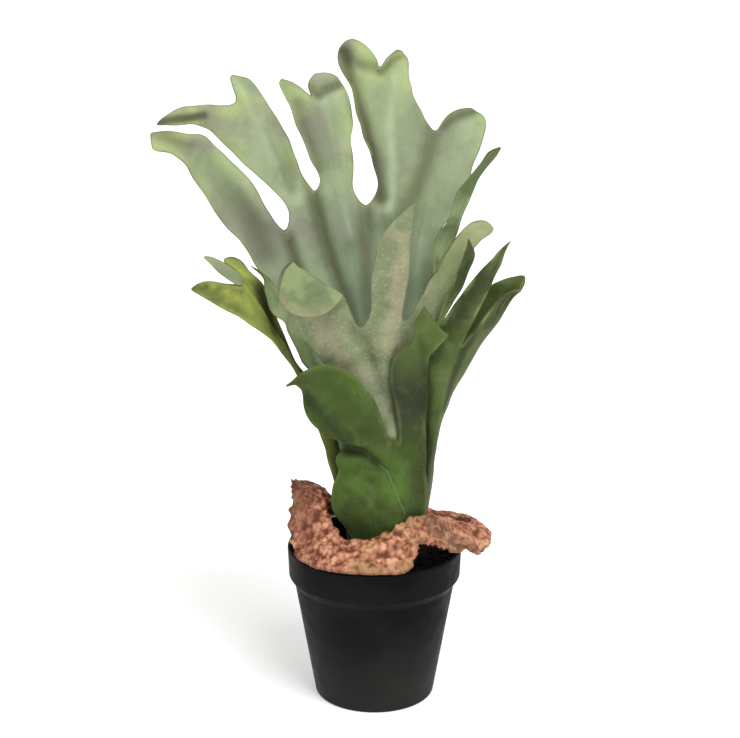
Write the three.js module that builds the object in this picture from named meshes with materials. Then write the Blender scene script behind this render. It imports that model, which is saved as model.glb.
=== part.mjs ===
// A staghorn fern standing in a plain round plastic pot.
// Millimetres, +Z up. The origin is the centre of the pot's flat base, and the front of the plant faces -Y.
// Every frond is one closed blade. It is laid out by rails, the lines that its margins and ribs follow from
// the foot to the tips: neighbouring lobes share a rail up to the fork, and have one each beyond it.
import * as THREE from "three";

// Pot
const POT_HEIGHT = 134.8;
const POT_RIM_RADIUS = 75;
const POT_BASE_RADIUS = 51.8;
const POT_BODY_TOP_RADIUS = 69.2;
const POT_BAND_HEIGHT = 32.6;
const POT_BAND_CHAMFER = 7;
const POT_WALL = 2.2;
const POT_FLOOR = 3;
const POT_LIP_ROUND = 1.2;
const POT_FOOT_WIDTH = 9;
const POT_CENTRE_DISC_RADIUS = 20;
const POT_RECESS_DEPTH = 1.4;
const POT_EDGE_BEVEL = 1;
const POT_BAND_TAPER = 1;
const POT_SIDES = 60;

// Potting mix
const GAP = 0.3;
const SOIL_TOP = 118;
const SOIL_FLAT_RADIUS = 50;
const SOIL_ROUGHNESS = 2.2;
const SOIL_ROUGH_RINGS = 3;
const SOIL_RING_WIDTH = 5;
const SOIL_LUMP_TURN_X = 0.9;
const SOIL_LUMP_TURN_Y = 0.8;
const SOIL_SIDES = 42;

// Crown, the short rootstock that the fronds stand round
const CROWN_CENTRE = [5, 2];
const CROWN_RADIUS = 10.5;
const CROWN_DEPTH_SCALE = 0.58;
const CROWN_HEIGHT = 27;
const CROWN_SIDES = 20;

// Fronds
const FOOT = SOIL_TOP + GAP;
const BLADE_THICKNESS = 1.8;
const ROWS_PER_STEP = 2;
const RIPPLE_HEIGHT = 0.9;
const RIPPLE_START = 60;
const RIPPLE_TURN_X = 0.13;
const RIPPLE_TURN_Y = 0.09;
const RIPPLE_TURN_Z = 0.11;
const RIPPLE_SLANT = 0.045;
const TIP_SHARPNESS = 9;

// Shield frond
const SHIELD_THICKNESS = 2.4;
const SHIELD_STEPS = 4;
const SHIELD_COLUMNS = 9;
const SHIELD_ARCH = 5;
const SHIELD_BUMP = 1.3;
const SHIELD_SEED = 11;
const RIM_ZONE_INSIDE = 8;
const RIM_ZONE_OUTSIDE = 3;

// How far a point may lie from a level and still count as on it
const LEVEL_TOLERANCE = 0.01;

// Finishes
const finish = (color, roughness) =>
  new THREE.MeshStandardMaterial({ color, roughness, metalness: 0, flatShading: true });
const BLACK_PLASTIC = () => finish(0x242322, 0.5);
const DARK_MIX = () => finish(0x1c1815, 0.95);
const ROOTSTOCK = () => finish(0x4a3a28, 0.9);
const PALE_GREEN = () => finish(0x8fa57c, 0.62);
const SCURFY_GREEN = () => finish(0xa09a80, 0.75);
const MID_GREEN = () => finish(0x6b8750, 0.58);
const OLIVE_GREEN = () => finish(0x85904a, 0.6);
const COPPER_BROWN = () => finish(0xb98264, 0.7);

// A repeatable stream of numbers from 0 to 1
function seeded(seed) {
  let state = seed;
  return () => {
    state = (state * 16807) % 2147483647;
    return state / 2147483647;
  };
}

// The height of an arch over the fraction s of its span, 1 in the middle
function arch(s) {
  return 4 * s * (1 - s);
}

// The points of a rail, evenly spaced between its hand-placed ones
function rail(placed) {
  const curve = new THREE.CatmullRomCurve3(placed.map((point) => new THREE.Vector3(...point)));
  return curve.getPoints((placed.length - 1) * ROWS_PER_STEP);
}

// The two rails that a shared one splits into. Both curve round the bottom of the gap between the lobes.
function fork(shared, leftSide, rightSide) {
  const stem = rail(shared);
  const end = shared[shared.length - 1];
  return [[leftSide, rightSide], [rightSide, leftSide]].map(([own, other]) => [
    ...stem,
    ...rail([other[0], end, ...own]).slice(ROWS_PER_STEP + 1),
  ]);
}

// A sheet of triangles that knows which of its corners coincide
class Sheet {
  constructor() {
    this.points = [];
    this.triangles = [];
    this.known = new Map();
  }

  corner(point) {
    const key = [point.x, point.y, point.z].map((v) => v.toFixed(3)).join();
    if (!this.known.has(key)) {
      this.known.set(key, this.points.length);
      this.points.push(point.clone());
    }
    return this.known.get(key);
  }

  triangle(a, b, c) {
    if (a !== b && b !== c && c !== a) {
      this.triangles.push([a, b, c]);
    }
  }

  quad(a, b, c, d) {
    this.triangle(a, b, c);
    this.triangle(a, c, d);
  }

  normals() {
    const sums = this.points.map(() => new THREE.Vector3());
    const ab = new THREE.Vector3();
    const ac = new THREE.Vector3();
    for (const corners of this.triangles) {
      const [a, b, c] = corners.map((i) => this.points[i]);
      ab.subVectors(b, a);
      ac.subVectors(c, a);
      const face = ab.clone().cross(ac);
      corners.forEach((i) => sums[i].add(face));
    }
    return sums.map((n) => n.normalize());
  }

  // Moves every corner along its normal by height(point, index).
  displace(height) {
    const normals = this.normals();
    this.points.forEach((p, i) => p.addScaledVector(normals[i], height(p, i)));
  }

  // The closed solid whose two faces lie half the thickness either side of the sheet.
  thicken(thickness) {
    const normals = this.normals();
    const count = this.points.length;
    const corners = [];
    for (const side of [1, -1]) {
      this.points.forEach((p, i) => {
        const n = normals[i];
        if (Math.abs(p.z - FOOT) < LEVEL_TOLERANCE) {
          n.setZ(0).normalize();
        }
        corners.push(...p.clone().addScaledVector(n, (side * thickness) / 2).toArray());
      });
    }
    const index = [];
    const openEdges = new Map();
    for (const [a, b, c] of this.triangles) {
      index.push(a, b, c);
      index.push(c + count, b + count, a + count);
      for (const [from, to] of [[a, b], [b, c], [c, a]]) {
        if (!openEdges.delete(`${to} ${from}`)) {
          openEdges.set(`${from} ${to}`, [from, to]);
        }
      }
    }
    for (const [from, to] of openEdges.values()) {
      index.push(from, from + count, to + count);
      index.push(from, to + count, to);
    }
    const solid = new THREE.BufferGeometry();
    solid.setAttribute("position", new THREE.Float32BufferAttribute(corners, 3));
    solid.setIndex(index);
    solid.computeVertexNormals();
    return solid;
  }
}

// One lobe between its left and right rails. A positive cup bows its middle towards the viewer's side, and
// a positive tip rounds its free end outwards.
function addLobe(sheet, { left, right, cup = 0, tip = 0, columns = 3 }) {
  const across = new THREE.Vector3();
  const along = new THREE.Vector3();
  const last = left.length - 1;
  const grid = left.map((start, row) => {
    const end = right[row];
    const before = Math.max(row - 1, 0);
    const after = Math.min(row + 1, last);
    across.subVectors(end, start);
    along.subVectors(left[after], left[before]).add(right[after]).sub(right[before]).normalize();
    const bow = across.clone().cross(along).normalize();
    if (row === 0) {
      bow.setZ(0).normalize();
    }
    const reach = tip * (row / last) ** TIP_SHARPNESS;
    return Array.from({ length: columns + 1 }, (_, column) => {
      const s = column / columns;
      const point = start.clone().lerp(end, s);
      point.addScaledVector(bow, cup * across.length() * arch(s));
      point.addScaledVector(along, reach * arch(s));
      return sheet.corner(point);
    });
  });
  for (let row = 1; row < grid.length; row++) {
    for (let column = 0; column < columns; column++) {
      const [a, b] = grid[row - 1].slice(column, column + 2);
      const [d, c] = grid[row].slice(column, column + 2);
      sheet.quad(a, b, c, d);
    }
  }
}

// Soft waves, still at the foot, that run over every blade
function ripple({ x, y, z }) {
  const rise = THREE.MathUtils.smoothstep(z - FOOT, RIPPLE_START, 4 * RIPPLE_START);
  const acrossWave = Math.sin(x * RIPPLE_TURN_X + z * RIPPLE_SLANT);
  const upWave = Math.sin(z * RIPPLE_TURN_Z - y * RIPPLE_TURN_Y + 1);
  return RIPPLE_HEIGHT * rise * (acrossWave + upWave);
}

function frond(name, material, lobes) {
  const sheet = new Sheet();
  lobes.forEach((lobe) => addLobe(sheet, lobe));
  sheet.displace(ripple);
  const mesh = new THREE.Mesh(sheet.thicken(BLADE_THICKNESS), material);
  mesh.name = name;
  return mesh;
}

// The big fan at the back, with five main lobes whose tips fork again
function backFan() {
  const leftMargin = [
    [-14, 17, FOOT], [-24, 16, 187], [-41, 20, 249], [-64, 26, 318], [-101, 33, 374], [-109, 33, 387],
    [-120, 32, 401], [-130, 31, 412], [-140, 28, 429], [-148, 25, 443], [-155, 20, 460], [-167, 13, 470],
    [-182, 8, 473],
  ];
  const stem1 = [[-10, 19, FOOT], [-15, 20, 186], [-27, 25, 248], [-45, 33, 321], [-76, 43, 401]];
  const lobe1Right = [
    [-83, 42, 409], [-93, 42, 424], [-102, 42, 442], [-116, 39, 456], [-131, 35, 472], [-143, 29, 484],
    [-163, 21, 487], [-183, 14, 488],
  ];
  const lobe2Left = [
    [-73, 50, 419], [-90, 53, 437], [-109, 53, 455], [-132, 51, 479], [-143, 46, 487], [-153, 38, 492],
    [-167, 30, 490], [-181, 24, 491],
  ];
  const stem2Tip = [
    [-6, 21, FOOT], [-11, 22, 185], [-20, 28, 247], [-34, 36, 320], [-58, 48, 392], [-64, 54, 427],
    [-77, 59, 448], [-94, 62, 469], [-118, 64, 506],
  ];
  const lobe2TipLeft = [[-133, 56, 505], [-149, 46, 506], [-163, 36, 504], [-181, 24, 491]];
  const lobe2TipRight = [[-122, 69, 515], [-124, 73, 521], [-123, 76, 525], [-119, 78, 527]];
  const stem2 = [
    [-2, 22, FOOT], [-6, 24, 184], [-12, 30, 246], [-22, 39, 319], [-37, 50, 383], [-52, 59, 432],
  ];
  const lobe2Right = [
    [-66, 61, 455], [-75, 65, 480], [-90, 71, 503], [-96, 73, 512], [-101, 75, 519], [-109, 77, 525],
    [-119, 78, 527],
  ];
  const lobe3Left = [
    [-47, 62, 441], [-56, 64, 459], [-64, 65, 479], [-70, 66, 496], [-76, 65, 512], [-82, 63, 522],
    [-79, 62, 527],
  ];
  const stem3Tip = [
    [2, 23, FOOT], [0, 25, 184], [-4, 32, 246], [-12, 41, 319], [-22, 52, 382], [-31, 60, 427],
    [-34, 62, 437], [-38, 66, 457], [-41, 68, 477], [-46, 70, 494], [-53, 72, 510],
  ];
  const lobe3TipLeft = [[-69, 67, 523], [-76, 63, 526]];
  const lobe3TipRight = [[-58, 76, 521], [-52, 81, 529]];
  const stem3 = [[6, 23, FOOT], [5, 26, 184], [6, 33, 245], [4, 42, 319], [-1, 52, 372], [-8, 61, 419]];
  const lobe3Right = [
    [-19, 63, 432], [-17, 66, 453], [-20, 70, 472], [-18, 73, 490], [-22, 78, 509], [-27, 82, 519],
    [-32, 87, 526],
  ];
  const lobe4Left = [
    [3, 65, 434], [-3, 69, 453], [-10, 74, 476], [-17, 78, 500], [-20, 80, 520], [-34, 79, 539],
    [-25, 76, 557],
  ];
  const stem4Tip = [
    [10, 22, FOOT], [10, 26, 184], [14, 33, 245], [17, 42, 319], [17, 52, 372], [15, 60, 416],
    [16, 64, 435], [16, 70, 459], [15, 75, 482], [10, 81, 508], [4, 88, 534],
  ];
  const lobe4TipLeft = [[1, 84, 543], [-10, 79, 555]];
  const lobe4TipRight = [[9, 91, 541], [20, 96, 547]];
  const stem4 = [
    [14, 20, FOOT], [17, 25, 184], [25, 31, 246], [30, 40, 319], [34, 50, 372], [35, 57, 409],
    [38, 63, 432], [43, 70, 457], [51, 77, 482],
  ];
  const lobe4Right = [[37, 81, 501], [30, 88, 523], [28, 94, 540], [23, 97, 547]];
  const lobe5Left = [[57, 81, 488], [63, 85, 495], [71, 87, 498], [82, 89, 500]];
  const rightMargin = [
    [18, 17, FOOT], [23, 22, 185], [36, 26, 247], [47, 33, 321], [52, 41, 374], [56, 46, 404],
    [68, 52, 423], [79, 58, 442], [90, 66, 468], [96, 73, 485], [94, 79, 493], [87, 85, 497],
    [82, 89, 500],
  ];
  const [lobe1Edge, lobe2Edge] = fork(stem1, lobe1Right, lobe2Left);
  const [lobe2TipA, lobe2TipB] = fork(stem2Tip, lobe2TipLeft, lobe2TipRight);
  const [lobe2EdgeB, lobe3Edge] = fork(stem2, lobe2Right, lobe3Left);
  const [lobe3TipA, lobe3TipB] = fork(stem3Tip, lobe3TipLeft, lobe3TipRight);
  const [lobe3EdgeB, lobe4Edge] = fork(stem3, lobe3Right, lobe4Left);
  const [lobe4TipA, lobe4TipB] = fork(stem4Tip, lobe4TipLeft, lobe4TipRight);
  const [lobe4EdgeB, lobe5Edge] = fork(stem4, lobe4Right, lobe5Left);
  return frond("frond_back_fan", PALE_GREEN(), [
    { left: rail(leftMargin), right: lobe1Edge, cup: -0.07 },
    { left: lobe2Edge, right: lobe2TipA, cup: 0.05 },
    { left: lobe2TipB, right: lobe2EdgeB, cup: -0.06 },
    { left: lobe3Edge, right: lobe3TipA, cup: 0.07 },
    { left: lobe3TipB, right: lobe3EdgeB, cup: -0.05, tip: 2 },
    { left: lobe4Edge, right: lobe4TipA, cup: 0.07, tip: 3 },
    { left: lobe4TipB, right: lobe4EdgeB, cup: -0.06 },
    { left: lobe5Edge, right: rail(rightMargin), cup: -0.06 },
  ]);
}

// The front frond: one rounded sheath below, which splits into a broad dark lobe turned left, a mealy
// middle that forks again and folds its left lobe over, and a fishtail lobe that stands cupped on the right
function frontFrond() {
  const leftMargin = [
    [-8, -27, FOOT], [-21, -19, 152], [-37, -13, 171], [-37, -13, 189], [-30, -19, 207], [-33, -28, 221],
    [-28, -22, 235], [-46, -33, 247], [-55, -34, 261], [-59, -37, 273], [-61, -41, 283], [-64, -44, 289],
    [-67, -47, 290], [-70, -49, 290], [-72, -51, 290],
  ];
  const leafStem = [
    [8, -36, FOOT], [10, -40, 150], [10, -41, 171], [12, -40, 189], [12, -38, 203], [12, -37, 215],
    [12, -35, 225], [12, -33, 235],
  ];
  const leafRight = [
    [10, -36, 248], [4, -38, 267], [-6, -40, 285], [-19, -42, 299], [-36, -44, 306], [-55, -47, 304],
    [-72, -51, 290],
  ];
  const mealyLeft = [
    [8, -27, 249], [-10, -26, 268], [-28, -27, 287], [-45, -30, 308], [-56, -33, 324], [-68, -38, 347],
    [-75, -43, 363], [-76, -48, 377], [-72, -53, 389], [-64, -58, 395], [-72, -64, 388], [-76, -67, 365],
  ];
  const mealyStem1 = [
    [13, -37, FOOT], [15, -40, 151], [15, -41, 171], [16, -40, 189], [16, -38, 203], [16, -36, 215],
    [16, -34, 226], [16, -31, 237], [14, -26, 252], [9, -25, 268], [2, -26, 290], [-6, -30, 312],
    [-12, -33, 335],
  ];
  const lobe1Right = [
    [-16, -35, 342], [-20, -38, 352], [-23, -42, 360], [-25, -47, 365], [-25, -51, 367], [-25, -55, 366],
    [-26, -58, 363],
  ];
  const lobe2Left = [
    [-4, -35, 346], [-3, -37, 364], [-3, -39, 381], [1, -41, 399], [9, -42, 418], [22, -41, 428],
    [32, -38, 441],
  ];
  const mealyStem2 = [
    [18, -37, FOOT], [20, -40, 152], [20, -41, 171], [20, -39, 189], [20, -37, 203], [19, -35, 215],
    [19, -33, 226], [18, -30, 237], [17, -24, 252], [16, -21, 268], [15, -21, 290], [15, -25, 313],
    [23, -27, 338],
  ];
  const lobe2Right = [
    [24, -30, 356], [26, -33, 371], [28, -36, 389], [28, -39, 406], [30, -41, 420], [31, -41, 432],
    [32, -38, 441],
  ];
  const lobe3Left = [
    [36, -20, 352], [44, -13, 368], [55, -8, 381], [62, -5, 400], [75, -1, 415], [89, 4, 417],
    [97, 10, 408],
  ];
  const fishtailStem = [
    [22, -36, FOOT], [25, -39, 153], [25, -40, 172], [25, -38, 189], [24, -36, 203], [22, -34, 215],
    [21, -32, 226], [20, -30, 235],
  ];
  const mealyRight = [
    [19, -23, 252], [18, -19, 278], [16, -20, 305], [32, -20, 319], [50, -11, 336], [62, -7, 359],
    [73, -3, 378], [80, -1, 390], [86, 1, 398], [90, 4, 401], [94, 7, 403], [97, 10, 408],
  ];
  const fishtailLeft = [
    [20, -31, 249], [17, -31, 270], [13, -31, 289], [15, -31, 310], [24, -32, 318], [31, -33, 323],
    [32, -35, 335], [34, -38, 348], [40, -41, 358],
  ];
  const rightMargin = [
    [30, -24, FOOT], [37, -24, 158], [42, -22, 172], [45, -21, 188], [44, -21, 203], [44, -21, 215],
    [43, -21, 227], [43, -21, 237], [43, -22, 250], [43, -22, 268], [44, -23, 283], [43, -25, 297],
    [45, -29, 310], [50, -33, 318], [55, -36, 323], [59, -39, 327], [61, -41, 331],
  ];
  const [leafEdge, mealyEdge] = fork(leafStem, leafRight, mealyLeft);
  const [lobe1Edge, lobe2Edge] = fork(mealyStem1, lobe1Right, lobe2Left);
  const [lobe2EdgeB, lobe3Edge] = fork(mealyStem2, lobe2Right, lobe3Left);
  const [mealyEdgeB, fishtailEdge] = fork(fishtailStem, mealyRight, fishtailLeft);
  return frond("frond_front", SCURFY_GREEN(), [
    { left: rail(leftMargin), right: leafEdge, cup: 0.08, columns: 6 },
    { left: mealyEdge, right: lobe1Edge, cup: 0.07, tip: 16, columns: 4 },
    { left: lobe2Edge, right: lobe2EdgeB, cup: 0.1 },
    { left: lobe3Edge, right: mealyEdgeB, cup: -0.08 },
    { left: fishtailEdge, right: rail(rightMargin), cup: -0.1, tip: -6, columns: 5 },
  ]);
}

// The right-hand frond, a channel below and three lobes above, the last of them folded along its keel
function rightPointed() {
  const leftMargin = [
    [28, -5, FOOT], [36, -7, 177], [40, -8, 213], [42, -9, 249], [43, -10, 280], [46, -14, 310],
    [51, -19, 332], [56, -20, 345], [61, -20, 360], [66, -21, 376], [72, -21, 389], [76, -19, 398],
    [77, -16, 406],
  ];
  const stem1 = [
    [30, -10, FOOT], [39, -12, 179], [44, -13, 215], [47, -14, 251], [50, -15, 281], [53, -17, 310],
    [57, -19, 335],
  ];
  const lobe1Right = [
    [64, -17, 350], [71, -15, 363], [79, -13, 377], [84, -12, 390], [82, -13, 398], [77, -16, 406],
  ];
  const lobe2Left = [
    [63, -22, 348], [72, -25, 364], [83, -27, 379], [95, -28, 393], [104, -28, 401], [110, -28, 407],
  ];
  const stem2 = [
    [33, -11, FOOT], [43, -14, 180], [48, -15, 216], [53, -16, 251], [58, -18, 278], [64, -20, 300],
    [71, -21, 316],
  ];
  const lobe2Right = [
    [78, -25, 333], [86, -28, 351], [93, -30, 367], [100, -30, 382], [106, -29, 396], [110, -28, 407],
  ];
  const lobe3Left = [
    [79, -22, 328], [89, -22, 342], [98, -22, 351], [107, -21, 356], [116, -18, 360], [123, -15, 362],
  ];
  const keel = [
    [35, -2, FOOT], [47, 2, 174], [51, 4, 209], [55, 4, 240], [61, 4, 256], [66, 3, 270],
    [73, 1, 282], [83, -1, 299], [94, -3, 319], [104, -5, 334], [114, -8, 349], [120, -12, 357],
    [123, -15, 362],
  ];
  const farMargin = [
    [34, 3, FOOT], [45, 7, 174], [49, 9, 209], [51, 9, 237], [55, 10, 252], [58, 11, 265],
    [63, 12, 278], [70, 12, 297], [77, 12, 319], [85, 11, 341], [95, 9, 361], [110, 4, 367],
    [124, -4, 373],
  ];
  const [lobe1Edge, lobe2Edge] = fork(stem1, lobe1Right, lobe2Left);
  const [lobe2EdgeB, lobe3Edge] = fork(stem2, lobe2Right, lobe3Left);
  return frond("frond_right_pointed", MID_GREEN(), [
    { left: rail(leftMargin), right: lobe1Edge, cup: -0.1 },
    { left: lobe2Edge, right: lobe2EdgeB, cup: 0.08 },
    { left: lobe3Edge, right: rail(keel), cup: 0.08 },
    { left: rail(keel), right: rail(farMargin), cup: 0.1, columns: 2 },
  ]);
}

// The slim spoon-shaped frond between the fan and the right-hand frond
function rightSpoon() {
  const leftMargin = [
    [22, 6, FOOT], [29, 4, 191], [37, 5, 254], [45, 6, 306], [49, 7, 349], [50, 8, 381], [54, 9, 408],
    [65, 10, 429], [77, 12, 447], [88, 14, 462], [92, 15, 472], [103, 17, 476],
  ];
  const rightMargin = [
    [25, 12, FOOT], [33, 12, 188], [42, 16, 250], [52, 19, 303], [58, 21, 346], [61, 22, 381],
    [68, 23, 404], [75, 24, 424], [85, 24, 445], [94, 22, 458], [100, 20, 469], [103, 17, 476],
  ];
  return frond("frond_right_spoon", MID_GREEN(), [
    { left: rail(leftMargin), right: rail(rightMargin), cup: -0.16, columns: 4 },
  ]);
}

// The outer frond on the left, whose three lobes reach out sideways
function leftOuter() {
  const leftMargin = [
    [-22, -10, FOOT], [-25, -12, 168], [-34, -12, 197], [-45, -12, 235], [-58, -13, 271], [-69, -16, 301],
    [-84, -20, 323], [-103, -25, 337], [-124, -30, 351], [-137, -33, 359], [-146, -35, 364],
    [-148, -36, 367],
  ];
  const stem1 = [
    [-20, -6, FOOT], [-21, -6, 166], [-29, -5, 196], [-39, -4, 232], [-55, -5, 271], [-69, -7, 300],
    [-82, -10, 324], [-110, -14, 366],
  ];
  const lobe1Right = [[-121, -20, 368], [-134, -26, 373], [-143, -32, 372], [-148, -36, 367]];
  const lobe2Left = [[-112, -18, 366], [-123, -24, 376], [-131, -28, 385], [-139, -30, 393]];
  const stem2 = [
    [-18, -2, FOOT], [-18, 0, 164], [-25, 2, 196], [-35, 4, 230], [-53, 4, 272], [-69, 3, 300],
    [-80, 0, 325], [-109, -4, 368],
  ];
  const lobe2Right = [[-111, -12, 374], [-118, -20, 383], [-130, -26, 392], [-139, -30, 393]];
  const lobe3Left = [[-113, 2, 374], [-120, 4, 379], [-125, 5, 383], [-119, 6, 386]];
  const rightMargin = [
    [-16, 4, FOOT], [-15, 7, 161], [-22, 9, 195], [-32, 11, 227], [-51, 10, 273], [-68, 8, 300],
    [-76, 7, 319], [-88, 6, 353], [-94, 6, 364], [-105, 6, 374], [-110, 6, 382], [-119, 6, 386],
  ];
  const [lobe1Edge, lobe2Edge] = fork(stem1, lobe1Right, lobe2Left);
  const [lobe2EdgeB, lobe3Edge] = fork(stem2, lobe2Right, lobe3Left);
  return frond("frond_left_outer", OLIVE_GREEN(), [
    { left: rail(leftMargin), right: lobe1Edge, cup: 0.08 },
    { left: lobe2Edge, right: lobe2EdgeB, cup: 0.1 },
    { left: lobe3Edge, right: rail(rightMargin), cup: -0.1 },
  ]);
}

// The strap beside it, seen nearly edge-on
function leftInner() {
  const frontMargin = [
    [-11, 1, FOOT], [-13, 1, 174], [-21, 0, 220], [-35, -3, 264], [-51, -6, 299], [-59, -8, 319],
    [-68, -10, 333], [-80, -11, 343], [-86, -10, 359], [-88, -8, 371], [-102, -5, 384],
  ];
  const backMargin = [
    [-9, 7, FOOT], [-10, 8, 172], [-17, 8, 217], [-29, 9, 261], [-44, 10, 295], [-51, 9, 316],
    [-59, 8, 333], [-69, 7, 347], [-78, 5, 359], [-87, 3, 370], [-102, -5, 384],
  ];
  return frond("frond_left_inner", OLIVE_GREEN(), [
    { left: rail(frontMargin), right: rail(backMargin), cup: -0.12, columns: 4 },
  ]);
}

// Shield frond: a crinkled collar that rests on the rim, arches over on the right and stands up on the
// left. Each pair is a point of its inner edge, by the fronds, and one of its outer margin.
function shieldFrond() {
  const pairs = [
    [[30, -42, 173], [37, -53, 154]],
    [[42, -31, 171], [49, -44, 150]],
    [[50, -12, 166], [60, -37, 142]],
    [[57, 2, 159], [68, -30, 138]],
    [[69, 12, 151], [80, -20, 135]],
    [[80, 20, 145], [90, -13, 129]],
    [[84, 28, 143], [98, -1, 132]],
    [[76, 34, 144], [101, 16, 137]],
    [[64, 38, 146], [92, 34, 139]],
    [[48, 40, 147], [66, 48, 138]],
    [[30, 43, 146], [40, 66, 137]],
    [[8, 46, 145], [10, 76, 136]],
    [[-14, 44, 148], [-24, 72, 137]],
    [[-30, 36, 155], [-48, 58, 143]],
    [[-39, 24, 166], [-66, 38, 160]],
    [[-41, 10, 175], [-71, 14, 184]],
    [[-41, -6, 176], [-70, -8, 178]],
    [[-39, -23, 170], [-71, -28, 150]],
    [[-33, -38, 163], [-63, -46, 140]],
    [[-23, -48, 158], [-50, -60, 137]],
    [[-10, -51, 155], [-34, -68, 136]],
    [[-1, -51, 158], [-14, -73, 136]],
    [[8, -50, 163], [8, -74, 136]],
    [[16, -47, 168], [26, -70, 136]],
    [[24, -44, 172], [33, -64, 146]],
  ];
  const ring = (edge) => {
    const placed = pairs.map((pair) => new THREE.Vector3(...pair[edge]));
    const curve = new THREE.CatmullRomCurve3(placed, true);
    return curve.getPoints(pairs.length * SHIELD_STEPS).slice(0, -1);
  };
  const inner = ring(0);
  const outer = ring(1);
  const sheet = new Sheet();
  const grid = inner.map((start, i) =>
    Array.from({ length: SHIELD_COLUMNS + 1 }, (_, column) => {
      const s = column / SHIELD_COLUMNS;
      const point = start.clone().lerp(outer[i], s);
      point.z += SHIELD_ARCH * arch(s);
      return sheet.corner(point);
    }),
  );
  grid.forEach((line, i) => {
    const next = grid[(i + 1) % grid.length];
    for (let column = 0; column < SHIELD_COLUMNS; column++) {
      sheet.quad(line[column], line[column + 1], next[column + 1], next[column]);
    }
  });
  const random = seeded(SHIELD_SEED);
  sheet.displace(() => SHIELD_BUMP * (2 * random() - 1));
  restOnRim(sheet.points, SHIELD_THICKNESS);
  const mesh = new THREE.Mesh(sheet.thicken(SHIELD_THICKNESS), COPPER_BROWN());
  mesh.name = "shield_frond";
  return mesh;
}

// Lifts a sheet's points clear of the pot's rim.
function restOnRim(points, thickness) {
  const lowest = POT_HEIGHT + GAP + thickness / 2;
  for (const p of points) {
    const radius = Math.hypot(p.x, p.y);
    if (radius > POT_RIM_RADIUS - RIM_ZONE_INSIDE && radius < POT_RIM_RADIUS + RIM_ZONE_OUTSIDE) {
      p.z = Math.max(p.z, lowest);
    }
  }
}

// A solid of revolution about Z from a profile of [radius, height] points that starts and ends on the axis
function turned(profile, sides) {
  const geometry = new THREE.LatheGeometry(profile.map(([r, z]) => new THREE.Vector2(r, z)), sides);
  return geometry.rotateX(Math.PI / 2);
}

// The pot: a tapered wall under a wide band, with a rolled lip, a foot ring and a recessed base
const BAND_BOTTOM = POT_HEIGHT - POT_BAND_HEIGHT;
const BAND_SIDE_BOTTOM = BAND_BOTTOM + POT_BAND_CHAMFER;
const BAND_SIDE_RADIUS = POT_RIM_RADIUS - POT_BAND_TAPER;
const INNER_BAND_RADIUS = BAND_SIDE_RADIUS - POT_WALL;
const INNER_BODY_RADIUS = POT_BODY_TOP_RADIUS - POT_WALL;
const INNER_BASE_RADIUS = POT_BASE_RADIUS - POT_WALL;

function pot() {
  const footInside = POT_BASE_RADIUS - POT_FOOT_WIDTH;
  const lipTop = POT_HEIGHT - POT_LIP_ROUND;
  const lipCorner = POT_LIP_ROUND * (1 - Math.SQRT1_2);
  const profile = [
    [0, 0],
    [POT_CENTRE_DISC_RADIUS, 0],
    [POT_CENTRE_DISC_RADIUS + POT_EDGE_BEVEL, POT_RECESS_DEPTH],
    [footInside - POT_EDGE_BEVEL, POT_RECESS_DEPTH],
    [footInside, 0],
    [POT_BASE_RADIUS - POT_EDGE_BEVEL, 0],
    [POT_BASE_RADIUS, POT_EDGE_BEVEL],
    [POT_BODY_TOP_RADIUS, BAND_BOTTOM],
    [BAND_SIDE_RADIUS, BAND_SIDE_BOTTOM],
    [POT_RIM_RADIUS, lipTop],
    [POT_RIM_RADIUS - lipCorner, POT_HEIGHT - lipCorner],
    [POT_RIM_RADIUS - POT_LIP_ROUND, POT_HEIGHT],
    [POT_RIM_RADIUS - POT_WALL, POT_HEIGHT],
    [POT_RIM_RADIUS - POT_WALL - lipCorner, lipTop],
    [INNER_BAND_RADIUS, BAND_SIDE_BOTTOM - POT_EDGE_BEVEL],
    [INNER_BODY_RADIUS, BAND_BOTTOM - POT_EDGE_BEVEL],
    [INNER_BASE_RADIUS, POT_FLOOR],
    [0, POT_FLOOR],
  ];
  const mesh = new THREE.Mesh(turned(profile, POT_SIDES), BLACK_PLASTIC());
  mesh.name = "pot";
  return mesh;
}

// The potting mix fills the pot, level where the fronds stand and uneven towards the wall.
function pottingMix() {
  const sideRadius = INNER_BAND_RADIUS - 2 * GAP;
  const wallClearance = 3 * GAP;
  const roughRings = Array.from({ length: SOIL_ROUGH_RINGS }, (_, i) => [
    sideRadius - (i + 1) * SOIL_RING_WIDTH,
    SOIL_TOP,
  ]);
  const profile = [
    [0, POT_FLOOR + GAP],
    [INNER_BASE_RADIUS - wallClearance, POT_FLOOR + GAP],
    [INNER_BODY_RADIUS - wallClearance, BAND_BOTTOM - POT_EDGE_BEVEL],
    [sideRadius, BAND_SIDE_BOTTOM],
    [sideRadius, SOIL_TOP - SOIL_ROUGHNESS],
    ...roughRings,
    [SOIL_FLAT_RADIUS, SOIL_TOP],
    [0, SOIL_TOP],
  ];
  const geometry = turned(profile, SOIL_SIDES);
  const corners = geometry.getAttribute("position");
  for (let i = 0; i < corners.count; i++) {
    const x = corners.getX(i);
    const y = corners.getY(i);
    const radius = Math.hypot(x, y);
    if (corners.getZ(i) === SOIL_TOP && radius > SOIL_FLAT_RADIUS + 1) {
      const lump = Math.sin(x * SOIL_LUMP_TURN_X + 1) * Math.cos(y * SOIL_LUMP_TURN_Y);
      corners.setZ(i, SOIL_TOP + SOIL_ROUGHNESS * lump);
    }
  }
  geometry.computeVertexNormals();
  const mesh = new THREE.Mesh(geometry, DARK_MIX());
  mesh.name = "potting_mix";
  return mesh;
}

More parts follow.
